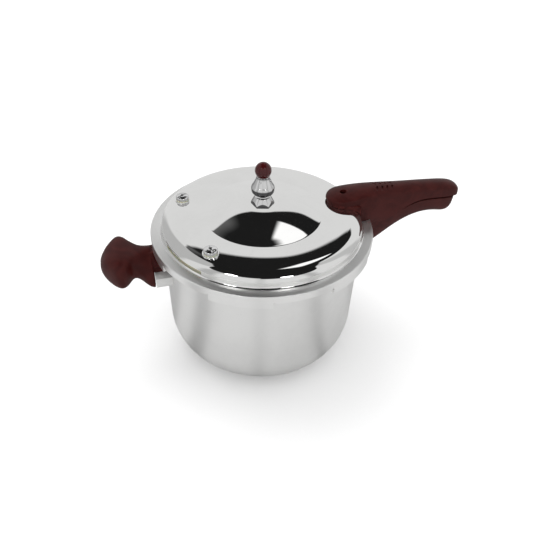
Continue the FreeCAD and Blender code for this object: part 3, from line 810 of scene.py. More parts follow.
def make_lid_handle():
    handle = loft("lid_handle_moulded", [crowned(*row) for row in LID_HANDLE_ROWS])
    cut(handle, below_lid_handle())
    cut(handle, block("under_head", (60, -40, 140), (HEAD_END, 40, HEAD_LOW)))
    drill(handle, WINDOW_R, INDICATOR_X, 180, 210, sides=48)
    drill(handle, GUIDE_ROOM_R, INDICATOR_X, 180, GUIDE_ROOM_TOP, sides=48)
    return handle


lid_handle = make_lid_handle()
print("handle faces:", len(lid_handle.data.polygons))

# %% [markdown]
# ### Grip grooves
#
# Four pairs of short slanted grooves are moulded into the ridge, where the thumb lies. A groove's cutter is a small
# bar with a round underside, set into the surface to its own depth, so that the groove has no sharp floor.

# %% Press the grooves
GROOVE_FIRST, GROOVE_STEP = 132.0, 6.2
GROOVE_Y, GROOVE_LENGTH, GROOVE_R = 6.4, 9.6, 1.1
GROOVE_SLANT = 24.0
GROOVE_Z, GROOVE_FALL = 194.3, 0.2


def press_grooves(handle):
    tools = []
    for step in range(4):
        for side in (-1, 1):
            x = GROOVE_FIRST + GROOVE_STEP * step
            z = GROOVE_Z - GROOVE_FALL * step
            slant = math.radians(90 + side * GROOVE_SLANT)
            along = Vector((math.cos(slant), math.sin(slant), 0)) * GROOVE_LENGTH / 2
            middle = Vector((x, side * GROOVE_Y, z))
            tools.append(rod("groove", GROOVE_R, middle - along, middle + along, sides=16))
    cut(handle, join(tools))


press_grooves(lid_handle)
smooth(lid_handle, 38.0)
finish(lid_handle, "lid", "bakelite", "lid_handle")

# %% [markdown]
# ## The pot's handle
#
# The lower handle is slimmer. It starts at the pot's wall under the hooks, swings up along the joint line and ends
# in a rounded hook a little short of the upper one. Inside it are the room for its bracket, the screw's hole, the
# room for the nut and the sink for the screw's head.

# %% Loft the pot's handle
POT_HANDLE_ROWS = [
    # x, shoulder height, underside height, top half-width, shoulder half-width
    (109.0, 109.6, 104.0, 15.5, 10.0), (118.0, 114.6, 109.0, 15.5, 10.2), (127.0, 120.2, 114.4, 15.5, 10.5),
    (135.5, 126.0, 120.2, 15.4, 10.5), (144.5, 132.6, 126.8, 15.0, 10.5), (155.0, 140.4, 134.8, 14.5, 10.0),
    (167.0, 148.6, 143.2, 14.0, 10.0), (179.0, 154.2, 149.0, 13.5, 10.0), (191.0, 157.6, 152.6, 13.1, 10.0),
    (204.0, 158.5, 153.5, 13.0, 10.0), (215.0, 157.2, 152.2, 13.0, 10.0), (223.0, 155.2, 150.6, 12.9, 10.0),
    (228.6, 155.8, 151.6, 12.4, 9.6), (232.4, 159.4, 155.6, 11.0, 8.6), (234.8, 164.6, 161.8, 7.8, 6.2),
    (235.6, 169.0, 167.0, 4.0, 3.4),
]
SIDE_TOP = 176.0
TRIM_TOP = 190.0
POT_SCREW_X = 136.0


def slung(x, shoulder, low, top_w, shoulder_w):
    """Half a cross-section of the lower handle, from its flat top round to the middle of its underside."""
    top = TRIM_TOP
    return [
        (x, 0.0, top), (x, top_w - 1.0, top), (x, top_w, top - 1.0),
        (x, top_w, shoulder + 0.55 * (SIDE_TOP - shoulder)),
        (x, top_w - 0.35 * (top_w - shoulder_w), shoulder + 0.12 * (SIDE_TOP - shoulder)),
        (x, shoulder_w, shoulder - 0.3), (x, 0.72 * shoulder_w, low + 0.42 * (shoulder - low)),
        (x, 0.38 * shoulder_w, low + 0.08 * (shoulder - low)), (x, 0.0, low),
    ]


def make_pot_handle():
    handle = loft("pot_handle_moulded", [slung(*row) for row in POT_HANDLE_ROWS])
    cut(handle, above_pot_handle())
    drill(handle, POT_R + 1.9, 0, 90, 200, sides=STEPS)
    cut(handle, block("bracket_room", (100, -10.1, 139.4), (147, 10.1, 148.6)))
    for radius, low, high in ((2.6, 130, 150), (4.8, 140, 151.7), (4.8, 100, 135.9)):
        drill(handle, radius, POT_SCREW_X, low, high)
    smooth(handle, 38.0)
    finish(handle, "pot", "bakelite", "pot_handle")


make_pot_handle()

# %% [markdown]
# ## The helper handle
#
# The short handle is moulded in the same resin: a block against the bracket, a narrow neck for the fingers and a
# round lobe. Its sections run outwards from the pot, and each is a soft-cornered slab, so rows of half-width, top
# and underside describe it. A tab reaches in over the bracket, under the lid's brim. It is a bar with sloping
# shoulders, joined to the block, and the pot's wall and the room for the turning hooks are cut away.

# %% Loft the helper handle
TAB_OUTLINE = [(-19.0, 131.3), (19.0, 131.3), (19.0, 138.0), (7.0, 149.6), (-7.0, 149.6), (-19.0, 138.0)]
TAB_OUT, TAB_LENGTH = -128.0, 20.0
HELPER_SCREW_Z = 136.0
BRACKET_FACE = -124.6
HELPER_ROWS = [
    # x, half-width at the side, half-width of the top, top, height where the side begins, underside, corner softness
    (-124.6, 30.8, 7.4, 150.6, 131.6, 119.6, 0.06),
    (-126.0, 31.0, 7.6, 151.4, 132.0, 119.3, 0.06),
    (-129.0, 30.6, 7.8, 151.3, 133.0, 119.1, 0.10),
    (-133.0, 28.2, 8.8, 151.0, 135.0, 119.9, 0.16),
    (-137.0, 23.8, 11.0, 150.8, 137.5, 121.0, 0.22),
    (-141.0, 19.8, 13.8, 151.1, 140.0, 121.8, 0.28),
    (-145.0, 18.6, 17.2, 152.6, 143.5, 122.0, 0.32),
    (-148.4, 21.0, 19.4, 153.8, 145.4, 121.4, 0.32),
    (-151.6, 26.6, 23.4, 154.8, 147.4, 120.0, 0.30),
    (-156.0, 31.2, 26.0, 155.6, 148.6, 118.2, 0.30),
    (-161.0, 31.8, 26.0, 155.8, 148.4, 117.8, 0.30),
    (-167.0, 27.0, 20.0, 154.2, 145.0, 119.6, 0.32),
    (-172.5, 20.8, 14.6, 150.9, 142.0, 122.8, 0.36),
    (-177.0, 13.6, 9.0, 145.6, 139.0, 127.2, 0.40),
    (-179.6, 6.4, 4.0, 141.0, 137.0, 132.4, 0.45),
]


def slab(x, half, top_half, top, side, low, soft):
    """Half of a section, from the middle of its top down a slope to the side and round to its underside."""
    drop = soft * (side - low)
    return [
        (x, 0.0, top), (x, 0.6 * top_half, top - 0.02 * (top - side)), (x, top_half, top - 0.14 * (top - side)),
        (x, half, side), (x, half, low + drop), (x, (1 - 0.5 * soft) * half, low + 0.3 * drop),
        (x, 0.5 * half, low + 0.05 * drop), (x, 0.0, low),
    ]


def roofed_tab():
    """The part of the base that reaches over the bracket: a bar with sloping shoulders."""
    tab = draw("tab", [(TAB_OUT, y, z) for y, z in TAB_OUTLINE])
    bpy.ops.object.mode_set(mode="EDIT")
    bpy.ops.mesh.select_all(action="SELECT")
    bpy.ops.mesh.edge_face_add()
    bpy.ops.mesh.extrude_region_move(TRANSFORM_OT_translate={"value": (TAB_LENGTH * MM, 0, 0)})
    face_out(tab)
    return tab


def make_helper_handle():
    grip = loft("helper_handle_moulded", [slab(*row) for row in HELPER_ROWS])
    cut(grip, roofed_tab(), "UNION")
    cut(grip, block("plate_room", (BRACKET_FACE, -8.5, 100), (-100, 8.5, 143.6)))
    cut(grip, block("face_trim", (BRACKET_FACE, -40, 100), (-100, 40, 131.2)))
    drill(grip, POT_R + 1.8, 0, 90, 200, sides=STEPS)
    drill(grip, HOOK_ROOM_R, 0, HOOK_ROOM_LOW, 200, sides=STEPS)
    cut(grip, rod("bore", 2.7, (-200, 0, HELPER_SCREW_Z), (-100, 0, HELPER_SCREW_Z), sides=32))
    cut(grip, rod("sink", 5.0, (-200, 0, HELPER_SCREW_Z), (-172, 0, HELPER_SCREW_Z), sides=48))
    smooth(grip, 38.0)
    finish(grip, "pot", "bakelite", "helper_handle")


make_helper_handle()

# %% [markdown]
# ## The folded bracket
#
# The bracket is one piece of sheet steel: a shelf with its sides and front folded down, and a plate folded up behind
# the grip. A flat plane is the shelf, its edges are extruded down for the flanges, and Solidify gives the sheet's
# thickness. The plate is joined on, Bevel gives the bend radii, and a cylinder trims the bracket to the pot.

# %% Fold the helper bracket
SHEET = 1.6
SHELF_TOP, FLANGE_DOWN = 131.0, 119.6
BRACKET_FRONT, BRACKET_BACK, BRACKET_HALF = -124.4, -98.0, 31.0
PLATE_HALF, PLATE_TOP = 8.0, 143.0


def make_bracket():
    deselect_all()
    middle_x = (BRACKET_FRONT + BRACKET_BACK) / 2
    bpy.ops.mesh.primitive_plane_add(size=1.0, location=(middle_x * MM, 0, SHELF_TOP * MM))
    bracket = bpy.context.object
    bracket.name = "helper_bracket_folded"
    bracket.scale = ((BRACKET_BACK - BRACKET_FRONT) * MM, 2 * BRACKET_HALF * MM, 1)
    bpy.ops.object.transform_apply(location=True, rotation=True, scale=True)
    bpy.ops.object.mode_set(mode="EDIT")
    bpy.ops.mesh.select_mode(type="EDGE")
    bpy.ops.mesh.select_all(action="DESELECT")
    bpy.ops.object.mode_set(mode="OBJECT")
    for edge in bracket.data.edges:
        ends = [bracket.data.vertices[v].co for v in edge.vertices]
        edge.select = not all(end.x > (BRACKET_FRONT + 1) * MM for end in ends)
    bpy.ops.object.mode_set(mode="EDIT")
    extrude(FLANGE_DOWN - SHELF_TOP)
    leave_edit()
    face_out(bracket)
    sheet = bracket.modifiers.new("sheet", "SOLIDIFY")
    sheet.thickness = SHEET * MM
    sheet.offset = -1.0
    sheet.use_even_offset = True
    apply(bracket, sheet)
    cut(bracket, block("plate", (BRACKET_FRONT, -PLATE_HALF, SHELF_TOP - 0.5),
                       (BRACKET_FRONT + SHEET, PLATE_HALF, PLATE_TOP)), "UNION")
    round_corners(bracket, 0.7, degrees=60.0, segments=3)
    drill(bracket, POT_R + 0.05, 0, 100, 160, sides=STEPS)
    cut(bracket, rod("bore", 2.6, (-130, 0, HELPER_SCREW_Z), (-110, 0, HELPER_SCREW_Z), sides=32))
    smooth(bracket, 40.0)
    finish(bracket, "pot", "bracket_steel", "helper_bracket")


make_bracket()

# %% [markdown]
# ## Shared effects, as node groups
#
# Metal and moulded resin differ, but their wear has the same causes: wiping, handling, corners that rub. Each cause
# is one shader node group with named inputs, placed in any material with its own values. A group only gives masks
# and heights that change over the surface; the shader itself stays in each material, where an exporter can read it.

# %% Helpers for node trees
DEGREES = 180 / math.pi


def new_group(name, inputs, outputs):
    """A shader node group with value and vector sockets."""
    group = bpy.data.node_groups.new(name, "ShaderNodeTree")
    for socket, kind, value in inputs:
        made = group.interface.new_socket(socket, in_out="INPUT", socket_type=kind)
        if kind == "NodeSocketFloat":
            made.default_value = value
    for socket in outputs:
        group.interface.new_socket(socket, in_out="OUTPUT", socket_type="NodeSocketFloat")
    return group, group.nodes.new("NodeGroupInput"), group.nodes.new("NodeGroupOutput")


def node(tree, kind, **values):
    """A node with its settings; a number or colour goes to the input of that name, a socket is linked to it."""
    made = tree.nodes.new("ShaderNode" + kind)
    for name, value in values.items():
        if name.startswith("set_"):
            setattr(made, name[4:], value)
    for name, value in values.items():
        if name.startswith("set_"):
            continue
        key = int(name[1:]) if name[0] == "i" and name[1:].isdigit() else name.replace("_", " ")
        if isinstance(value, bpy.types.NodeSocket):
            tree.links.new(value, made.inputs[key])
        else:
            made.inputs[key].default_value = value
    return made


def maths(tree, operation, first, second=0.0, clamp=False):
    made = node(tree, "Math", set_operation=operation, set_use_clamp=clamp, i0=first, i1=second)
    return made.outputs[0]


def add_share(tree, total, mask, amount, clamp=False):
    """Adds a mask times an amount to a value."""
    return maths(tree, "ADD", total, maths(tree, "MULTIPLY", mask, amount), clamp)


def within_half_turn(tree, angle):
    """Brings an angle in degrees between -180 and 180."""
    return node(tree, "Math", set_operation="WRAP", i0=angle, i1=180.0, i2=-180.0).outputs[0]


def round_the_axis(tree, place):
    """The three parts of a place, its flat part and its distance from the cooker's axis."""
    parts = node(tree, "SeparateXYZ", i0=place).outputs
    flat = node(tree, "CombineXYZ", i0=parts[0], i1=parts[1]).outputs[0]
    return parts, flat, node(tree, "VectorMath", set_operation="LENGTH", i0=flat).outputs["Value"]


def tint(tree, mask, low, high):
    """Mixes two colours, each three numbers or a socket, by a mask."""
    ends = [end if isinstance(end, bpy.types.NodeSocket) else (*end, 1.0) for end in (low, high)]
    return node(tree, "Mix", set_data_type="RGBA", Factor=mask, i6=ends[0], i7=ends[1]).outputs[2]


def ramp(tree, value, low, high, to_low=0.0, to_high=1.0):
    """Maps low..high smoothly onto to_low..to_high."""
    made = node(tree, "MapRange", set_interpolation_type="SMOOTHSTEP", Value=value,
                From_Min=low, From_Max=high, To_Min=to_low, To_Max=to_high)
    return made.outputs["Result"]


def use(tree, group, **values):
    made = tree.nodes.new("ShaderNodeGroup")
    made.node_tree = group
    for name, value in values.items():
        key = name.replace("_", " ")
        if isinstance(value, bpy.types.NodeSocket):
            tree.links.new(value, made.inputs[key])
        else:
            made.inputs[key].default_value = value
    return made


# %% [markdown]
# ### Turning lines
#
# A buffing wheel or a lathe tool leaves fine lines that run round the axis. On the surface they are a noise that is
# long round the axis and very short along the radius and the height. The group turns a place into radius, height and
# a little of its angle, reads a stretched noise there and gives its value.

# %% Group: turning lines
def make_turning_lines():
    group, given, result = new_group("turning lines", [
        ("Place", "NodeSocketVector", None), ("Lines per metre", "NodeSocketFloat", 1500.0),
        ("Wander", "NodeSocketFloat", 1.5)], ["Line"])
    parts, flat, radius = round_the_axis(group, given.outputs["Place"])
    turned = node(group, "SeparateXYZ", i0=node(group, "VectorMath", set_operation="NORMALIZE", i0=flat).outputs[0])
    along = maths(group, "MULTIPLY", maths(group, "ADD", radius, parts[2]), given.outputs["Lines per metre"])
    across = maths(group, "MULTIPLY", turned.outputs[0], given.outputs["Wander"])
    beside = maths(group, "MULTIPLY", turned.outputs[1], given.outputs["Wander"])
    where = node(group, "CombineXYZ", i0=along, i1=across, i2=beside)
    lines = node(group, "TexNoise", Vector=where.outputs[0], Scale=1.0, Detail=3.0, Roughness=0.65)
    group.links.new(lines.outputs[0], result.inputs["Line"])
    return group


turning_lines = make_turning_lines()

# %% [markdown]
# ### Smudges
#
# Handling and wiping leave soft clouds where a polish is a little duller. Two sizes of noise are added, the fine one
# at a quarter of its strength, and a soft threshold makes clouds with streaky borders of them.

# %% Group: smudges
def make_smudges():
    group, given, result = new_group("smudges", [
        ("Place", "NodeSocketVector", None), ("Size", "NodeSocketFloat", 18.0),
        ("Cover", "NodeSocketFloat", 0.5)], ["Smudge"])
    clouds = node(group, "TexNoise", Vector=given.outputs["Place"], Scale=given.outputs["Size"],
                  Detail=4.0, Roughness=0.55, Distortion=0.8)
    fine_size = maths(group, "MULTIPLY", given.outputs["Size"], 9.0)
    fine = node(group, "TexNoise", Vector=given.outputs["Place"], Scale=fine_size, Detail=2.0, Distortion=1.5)
    mixed = add_share(group, clouds.outputs[0], fine.outputs[0], 0.25)
    edge = maths(group, "SUBTRACT", 1.0, given.outputs["Cover"])
    group.links.new(ramp(group, mixed, edge, maths(group, "ADD", edge, 0.35)), result.inputs["Smudge"])
    return group


smudges = make_smudges()

# %% [markdown]
# ### Hairline scratches
#
# Washing draws thin, nearly straight scratches in every direction. Each set is a noise squeezed hard along one line,
# so that only its ridges stay. Two sets at different slants cross each other.

# %% Group: scratches
def make_scratches():
    group, given, result = new_group("scratches", [
        ("Place", "NodeSocketVector", None), ("Fineness", "NodeSocketFloat", 900.0),
        ("Amount", "NodeSocketFloat", 0.3)], ["Scratch"])
    sets = []
    for turn, stretch in (((0.4, 0.2, 0.9), 0.035), ((-0.5, 0.7, -0.6), 0.05)):
        slanted = node(group, "Mapping", Vector=given.outputs["Place"], Rotation=turn, Scale=(1.0, stretch, stretch))
        lines = node(group, "TexNoise", Vector=slanted.outputs[0], Scale=given.outputs["Fineness"], Detail=1.0)
        sets.append(ramp(group, lines.outputs[0], 0.66, 0.72))
    both = maths(group, "MAXIMUM", sets[0], sets[1])
    scaled = maths(group, "MULTIPLY", both, given.outputs["Amount"])
    group.links.new(scaled, result.inputs["Scratch"])
    return group


scratches = make_scratches()

# %% [markdown]
# ### Edge wear
#
# Corners are the first place to be rubbed bright on metal, or dull and pale on resin. Pointiness finds the corners of
# the mesh, and a noise breaks the line up, so that the wear isn't even.

# %% Group: edge wear
def make_edge_wear():
    group, given, result = new_group("edge wear", [
        ("Place", "NodeSocketVector", None), ("Amount", "NodeSocketFloat", 0.5)], ["Wear"])
    corner = node(group, "NewGeometry").outputs["Pointiness"]
    sharp = ramp(group, corner, 0.52, 0.60)
    broken = node(group, "TexNoise", Vector=given.outputs["Place"], Scale=160.0, Detail=3.0)
    patchy = maths(group, "MULTIPLY", sharp, ramp(group, broken.outputs[0], 0.35, 0.6))
    scaled = maths(group, "MULTIPLY", patchy, given.outputs["Amount"])
    group.links.new(scaled, result.inputs["Wear"])
    return group


edge_wear = make_edge_wear()

# %% [markdown]
# ## Metals
#
# All metals are made by one function, because they differ only in colour, in how rough the polish is and in how much
# of each effect they show. Roughness carries most of the look of a metal, so lines, smudges and scratches all add to
# it, and a very low bump lets the lines break up reflections.
#
# Two options serve single pieces. The lid is polished on its dome and ring only, so its brim and skirt are satin from
# a radius outwards. Small turned parts get painted shade in their colour: it darkens towards the outline as the
# camera sees it and on faces that look down, as if light hardly reached them there.

# %% Make the metals
def new_material(name):
    material = bpy.data.materials.new(name)
    material.use_nodes = True
    tree = material.node_tree
    tree.nodes.clear()
    place = tree.nodes.new("ShaderNodeTexCoord").outputs["Object"]
    shader = tree.nodes.new("ShaderNodeBsdfPrincipled")
    out = tree.nodes.new("ShaderNodeOutputMaterial")
    tree.links.new(shader.outputs[0], out.inputs["Surface"])
    return material, tree, place, shader


SATIN_FADE, SATIN_ROUGH = 0.0012, 0.30
# Painted shade on small turned parts: the facing range and the downward-normal range over which it grows, and its
# dark colour.
PAINTED_SHADE_FACING, PAINTED_SHADE_UNDER = (0.42, 0.72), (0.30, 0.05)
PAINTED_SHADE_COLOUR = (0.03, 0.03, 0.035)
RUBBED_SMOOTHER = 0.4
METAL_BUMP = 0.00005


def make_metal(name, colour, dull, rough, line_rough=0.0, fineness=1500.0, smudge_rough=0.05,
               scratch_rough=0.1, bump=0.0, smudge_size=18.0, wear=0.3, metallic=1.0, rim=0.0, satin_from=0.0):
    material, tree, place, shader = new_material(name)
    lines = use(tree, turning_lines, Place=place, Lines_per_metre=fineness).outputs[0]
    smudge = use(tree, smudges, Place=place, Size=smudge_size).outputs[0]
    scratch = use(tree, scratches, Place=place).outputs[0]
    rubbed = use(tree, edge_wear, Place=place, Amount=wear).outputs[0]
    shader.inputs["Metallic"].default_value = metallic
    face = tint(tree, smudge, colour, dull)
    # Painted shade: the colour darkens towards the outline as the camera sees it and on faces that look down, by the
    # amount rim.
    if rim:
        facing = node(tree, "LayerWeight", Blend=0.5).outputs["Facing"]
        under = node(tree, "SeparateXYZ", i0=node(tree, "NewGeometry").outputs["Normal"]).outputs[2]
        dark = maths(tree, "MAXIMUM", ramp(tree, facing, *PAINTED_SHADE_FACING, 0.0, rim),
                     ramp(tree, under, *PAINTED_SHADE_UNDER, 0.0, rim))
        face = tint(tree, dark, face, PAINTED_SHADE_COLOUR)
    tree.links.new(face, shader.inputs["Base Color"])
    total = rough
    for mask, amount in ((lines, line_rough), (smudge, smudge_rough), (scratch, scratch_rough)):
        total = add_share(tree, total, mask, amount)
    total = maths(tree, "SUBTRACT", total, maths(tree, "MULTIPLY", rubbed, rough * RUBBED_SMOOTHER), clamp=True)
    if satin_from:
        radius = round_the_axis(tree, place)[2]
        satin = ramp(tree, radius, satin_from, satin_from + SATIN_FADE, 0.0, SATIN_ROUGH)
        total = maths(tree, "ADD", total, satin, clamp=True)
    tree.links.new(total, shader.inputs["Roughness"])
    if bump:
        height = maths(tree, "SUBTRACT", lines, maths(tree, "MULTIPLY", scratch, 0.5))
        relief = node(tree, "Bump", Strength=bump, Distance=METAL_BUMP, Height=height)
        tree.links.new(relief.outputs[0], shader.inputs["Normal"])
    return material


finishes = {
    "mirror_aluminium": make_metal("mirror aluminium", (0.90, 0.90, 0.89), (0.87, 0.87, 0.86), rough=0.012,
                                   line_rough=0.012, fineness=2500.0, smudge_rough=0.02, scratch_rough=0.05,
                                   satin_from=0.1118),
    "satin_aluminium": make_metal("satin aluminium", (0.88, 0.88, 0.87), (0.83, 0.83, 0.82), rough=0.24,
                                  line_rough=0.14, fineness=1800.0, smudge_rough=0.06, bump=0.5, smudge_size=9.0),
    "bracket_steel": make_metal("bracket steel", (0.72, 0.72, 0.71), (0.64, 0.64, 0.63), rough=0.42,
                                line_rough=0.1, fineness=700.0, bump=0.25, metallic=0.55),
    "steel": make_metal("steel", (0.56, 0.56, 0.57), (0.46, 0.46, 0.46), rough=0.28, line_rough=0.15, bump=0.2),
    # Polished steel and cap steel carry painted shade at their outlines and undersides (rim), strongest on polished
    # steel.
    "polished_steel": make_metal("polished steel", (0.78, 0.78, 0.78), (0.72, 0.72, 0.72), rough=0.06,
                                 line_rough=0.06, fineness=4000.0, smudge_size=60.0, rim=0.9),
    "cap_steel": make_metal("cap steel", (0.84, 0.84, 0.84), (0.78, 0.78, 0.78), rough=0.08,
                            line_rough=0.06, fineness=4000.0, smudge_size=60.0, rim=0.35),
    "brass": make_metal("brass", (0.78, 0.60, 0.30), (0.60, 0.44, 0.20), rough=0.22, line_rough=0.15, bump=0.2),
}
print("metals:", ", ".join(finishes))

# %% [markdown]
# ## Moulded resin
#
# Phenolic resin is a dark red-brown filled with wood flour, so a close look shows a fine speckle of lighter and
# darker grains under a soft sheen. Where the mould was polished, as on the ball, a clear skin lies on top. Rubbed
# edges go paler.

# %% Make the resins
def make_resin(name, dark, light, rough, coat=0.0, speckle=0.3, relief=0.2, shine=0.2):
    material, tree, place, shader = new_material(name)
    grains = node(tree, "TexNoise", Vector=place, Scale=2600.0, Detail=2.0, Roughness=0.7)
    flow = node(tree, "TexNoise", Vector=place, Scale=55.0, Detail=3.0, Distortion=1.2)
    mottle = add_share(tree, maths(tree, "MULTIPLY", grains.outputs[0], speckle), flow.outputs[0], 1.0 - speckle)
    rubbed = use(tree, edge_wear, Place=place, Amount=0.35).outputs[0]
    handled = use(tree, smudges, Place=place, Size=30.0).outputs[0]
    body = tint(tree, ramp(tree, mottle, 0.35, 0.65), dark, light)
    pale = tint(tree, rubbed, body, [c * 2.2 + 0.01 for c in light])
    tree.links.new(pale, shader.inputs["Base Color"])
    total = add_share(tree, add_share(tree, rough, handled, 0.08), grains.outputs[0], 0.06, clamp=True)
    tree.links.new(total, shader.inputs["Roughness"])
    shader.inputs["Specular IOR Level"].default_value = shine
    shader.inputs["Coat Weight"].default_value = coat
    shader.inputs["Coat Roughness"].default_value = 0.06
    shape = node(tree, "Bump", Strength=relief, Distance=0.00006, Height=grains.outputs[0])
    tree.links.new(shape.outputs[0], shader.inputs["Normal"])
    return material


finishes["bakelite"] = make_resin(
    "red-brown resin", (0.032, 0.0038, 0.0032), (0.048, 0.0068, 0.0056), rough=0.36, shine=0.14)
finishes["gloss_bakelite"] = make_resin(
    "polished resin", (0.036, 0.0016, 0.0020), (0.052, 0.0030, 0.0034), rough=0.20, coat=0.45, relief=0.04)

# %% [markdown]
# ## Silicone
#
# The gasket and the small seals are cream silicone: slightly see-through, matt, and dusty where they are touched.
# Subsurface light stays shallow, so a thin lip still looks solid.

# %% Make the silicone
def make_silicone():
    material, tree, place, shader = new_material("cream silicone")
    cloud = use(tree, smudges, Place=place, Size=40.0).outputs[0]
    dust = node(tree, "TexNoise", Vector=place, Scale=1800.0, Detail=2.0)
    tree.links.new(tint(tree, cloud, (0.62, 0.60, 0.46), (0.54, 0.52, 0.40)), shader.inputs["Base Color"])
    tree.links.new(add_share(tree, 0.42, dust.outputs[0], 0.2, clamp=True), shader.inputs["Roughness"])
    shader.inputs["Subsurface Weight"].default_value = 0.15
    shader.inputs["Subsurface Scale"].default_value = 0.002
    shape = node(tree, "Bump", Strength=0.15, Distance=0.00005, Height=dust.outputs[0])
    tree.links.new(shape.outputs[0], shader.inputs["Normal"])
    return material


finishes["silicone"] = make_silicone()

# %% [markdown]
# ## Dressing every part
#
# A new piece takes its finish by the slot listed for it below, and a CAD part that stays by the slot that the record
# names for it.

# %% Give every part its finish
def slot_of(node_name):
    for part in frame["record"]["subparts"]:
        if part["node"] == node_name:
            return part["material_slot"]
    return "steel"


def dress(piece, slot):
    if not piece.material_slots:
        piece.data.materials.append(finishes[slot])
    for place in piece.material_slots:
        place.material = finishes[slot]


NEW_PIECES = {
    "pot_spun": "satin_aluminium", "lid_spun": "mirror_aluminium", "gasket_ring": "silicone",
    "vent_pipe_turned": "polished_steel", "weight_turned": "polished_steel", "weight_ball": "gloss_bakelite",
    "weight_needle_turned": "polished_steel",
    "relief_cap_1": "cap_steel", "relief_cap_2": "cap_steel", "lid_handle_moulded": "bakelite",
    "pot_handle_moulded": "bakelite", "helper_handle_moulded": "bakelite", "helper_bracket_folded": "bracket_steel",
}
for name, slot in NEW_PIECES.items():
    dress(bpy.data.objects[name], slot)
for name, part in frame["nodes"].items():
    dress(part if hasattr(part, "material_slots") else bpy.data.objects[part], slot_of(name))
print(len(NEW_PIECES), "new pieces and", len(frame["nodes"]), "CAD parts dressed")

# %% [markdown]
# ### Keeping the dome's reflection calm
#
# The polished dome would mirror the weight and the pipe as a dark smear at their foot. Object properties, Visibility,
# Ray Visibility, Glossy hides an object from reflections alone; the eye still sees it.

# %% Hide the weight and the vent from reflections
for name in ("weight_turned", "weight_ball", "weight_needle_turned", "vent_pipe_turned"):
    bpy.data.objects[name].visible_glossy = False

# %% [markdown]
# ## Floor, light and camera
#
# Round mirrors need something dark to show their form. Studios hang black flags round the set, and the group below
# is that: five bands by bearing, each with soft borders, that take away part of the light.

# %% Group: flags
BACK = 74.0
FLAGS = (
    # first bearing and last bearing from the camera's side, how dark
    (-140.0, -84.0, 0.34), (-62.0, -46.0, 0.36), (-4.0, 5.0, 0.16), (48.0, 58.0, 0.34), (98.0, 120.0, 0.28),
)
FLAG_SOFT = 4.0


def make_flags():
    group, given, result = new_group("flags", [("Place", "NodeSocketVector", None)], ["Light left", "Bearing"])
    parts = node(group, "SeparateXYZ", i0=given.outputs["Place"])
    turn = maths(group, "MULTIPLY", maths(group, "ARCTAN2", parts.outputs[1], parts.outputs[0]), DEGREES)
    bearing_off = within_half_turn(group, maths(group, "SUBTRACT", turn, BACK + 180.0))
    left = 1.0
    for first, last, depth in FLAGS:
        inside = maths(group, "MULTIPLY", ramp(group, bearing_off, first - FLAG_SOFT, first + FLAG_SOFT),
                       ramp(group, bearing_off, last + FLAG_SOFT, last - FLAG_SOFT))
        passed = maths(group, "SUBTRACT", 1.0, maths(group, "MULTIPLY", inside, depth))
        left = maths(group, "MULTIPLY", left, passed)
    group.links.new(left, result.inputs["Light left"])
    group.links.new(bearing_off, result.inputs["Bearing"])
    return group


flags = make_flags()

# %% [markdown]
# ### The floor
#
# The floor is nearly white to the eye. In reflections it is greyer, as if the light fell off around the cooker, and
# the flags cast their bands over it, which draws soft upright streaks on the pot's wall.

# %% Lay the floor
FLOOR_R = 6.0


def make_floor():
    deselect_all()
    bpy.ops.mesh.primitive_circle_add(vertices=96, radius=FLOOR_R, fill_type="NGON", location=(0, 0, 0))
    floor = bpy.context.object
    floor.name = "studio_floor"
    material, tree, place, shader = new_material("pale floor")
    grain = node(tree, "TexNoise", Vector=place, Scale=300.0, Detail=2.0)
    seen = tint(tree, grain.outputs[0], (0.93, 0.93, 0.93), (0.95, 0.95, 0.95))
    mirrored = tint(tree, grain.outputs[0], (0.58, 0.58, 0.58), (0.60, 0.60, 0.60))
    light_left = use(tree, flags, Place=place).outputs["Light left"]
    shaded = node(tree, "VectorMath", set_operation="SCALE", i0=mirrored, Scale=light_left).outputs[0]
    either = tint(tree, node(tree, "LightPath").outputs["Is Glossy Ray"], seen, shaded)
    tree.links.new(either, shader.inputs["Base Color"])
    shader.inputs["Roughness"].default_value = 0.9
    shader.inputs["Specular IOR Level"].default_value = 0.1
    floor.data.materials.append(material)


make_floor()

# %% [markdown]
# ### The two skies
#
# Polished metal shows its surroundings and nothing else, so the world has two skies: a soft even one that lights the
# room, and a second one that only reflections see. The second is a white sweep, dimmed by the flags, up to an edge
# whose height changes with the bearing. Above it are a dark ceiling with one pale patch, one softbox and two small
# round lamps. That is how a product studio looks from inside a mirror.

# %% Build the two skies
SKY_LIGHT = 1.15
WALL_LIGHT, CEILING_LIGHT = 0.74, 0.012
CEILING_EDGE = (
    # first and last bearing from the back over which the edge changes, its height at each of the two
    (-22.0, -3.0, 35.0, 41.3), (12.0, 36.0, 0.0, 5.0), (-58.0, -34.0, 24.0, 0.0), (36.0, 60.0, 0.0, 18.0),
)
FRONT_DROP = (100.0, 60.0, 0.0, 16.0)
EDGE_SOFT = 0.8
PATCH_BEARINGS, PATCH_HEIGHTS, PATCH_LIGHT = (14.0, 26.0), (58.0, 44.0), 0.12
SOFTBOX_SIDES = ((-33.0, -31.5), (-9.0, -14.0))
SOFTBOX_ROWS = ((48.5, 49.5), (66.0, 62.0))
SOFTBOX_LIGHT = 1.1
LAMP_BEARINGS = (-38.0, 34.0)
LAMP_HEIGHT, LAMP_EDGE, LAMP_SOFT, LAMP_STRENGTH = 50.0, 0.996, 0.001, 5.0


def panel(tree, value, ends):
    """A mask that rises over the first pair of values and falls over the second."""
    return maths(tree, "MULTIPLY", ramp(tree, value, *ends[0]), ramp(tree, value, *ends[1]))


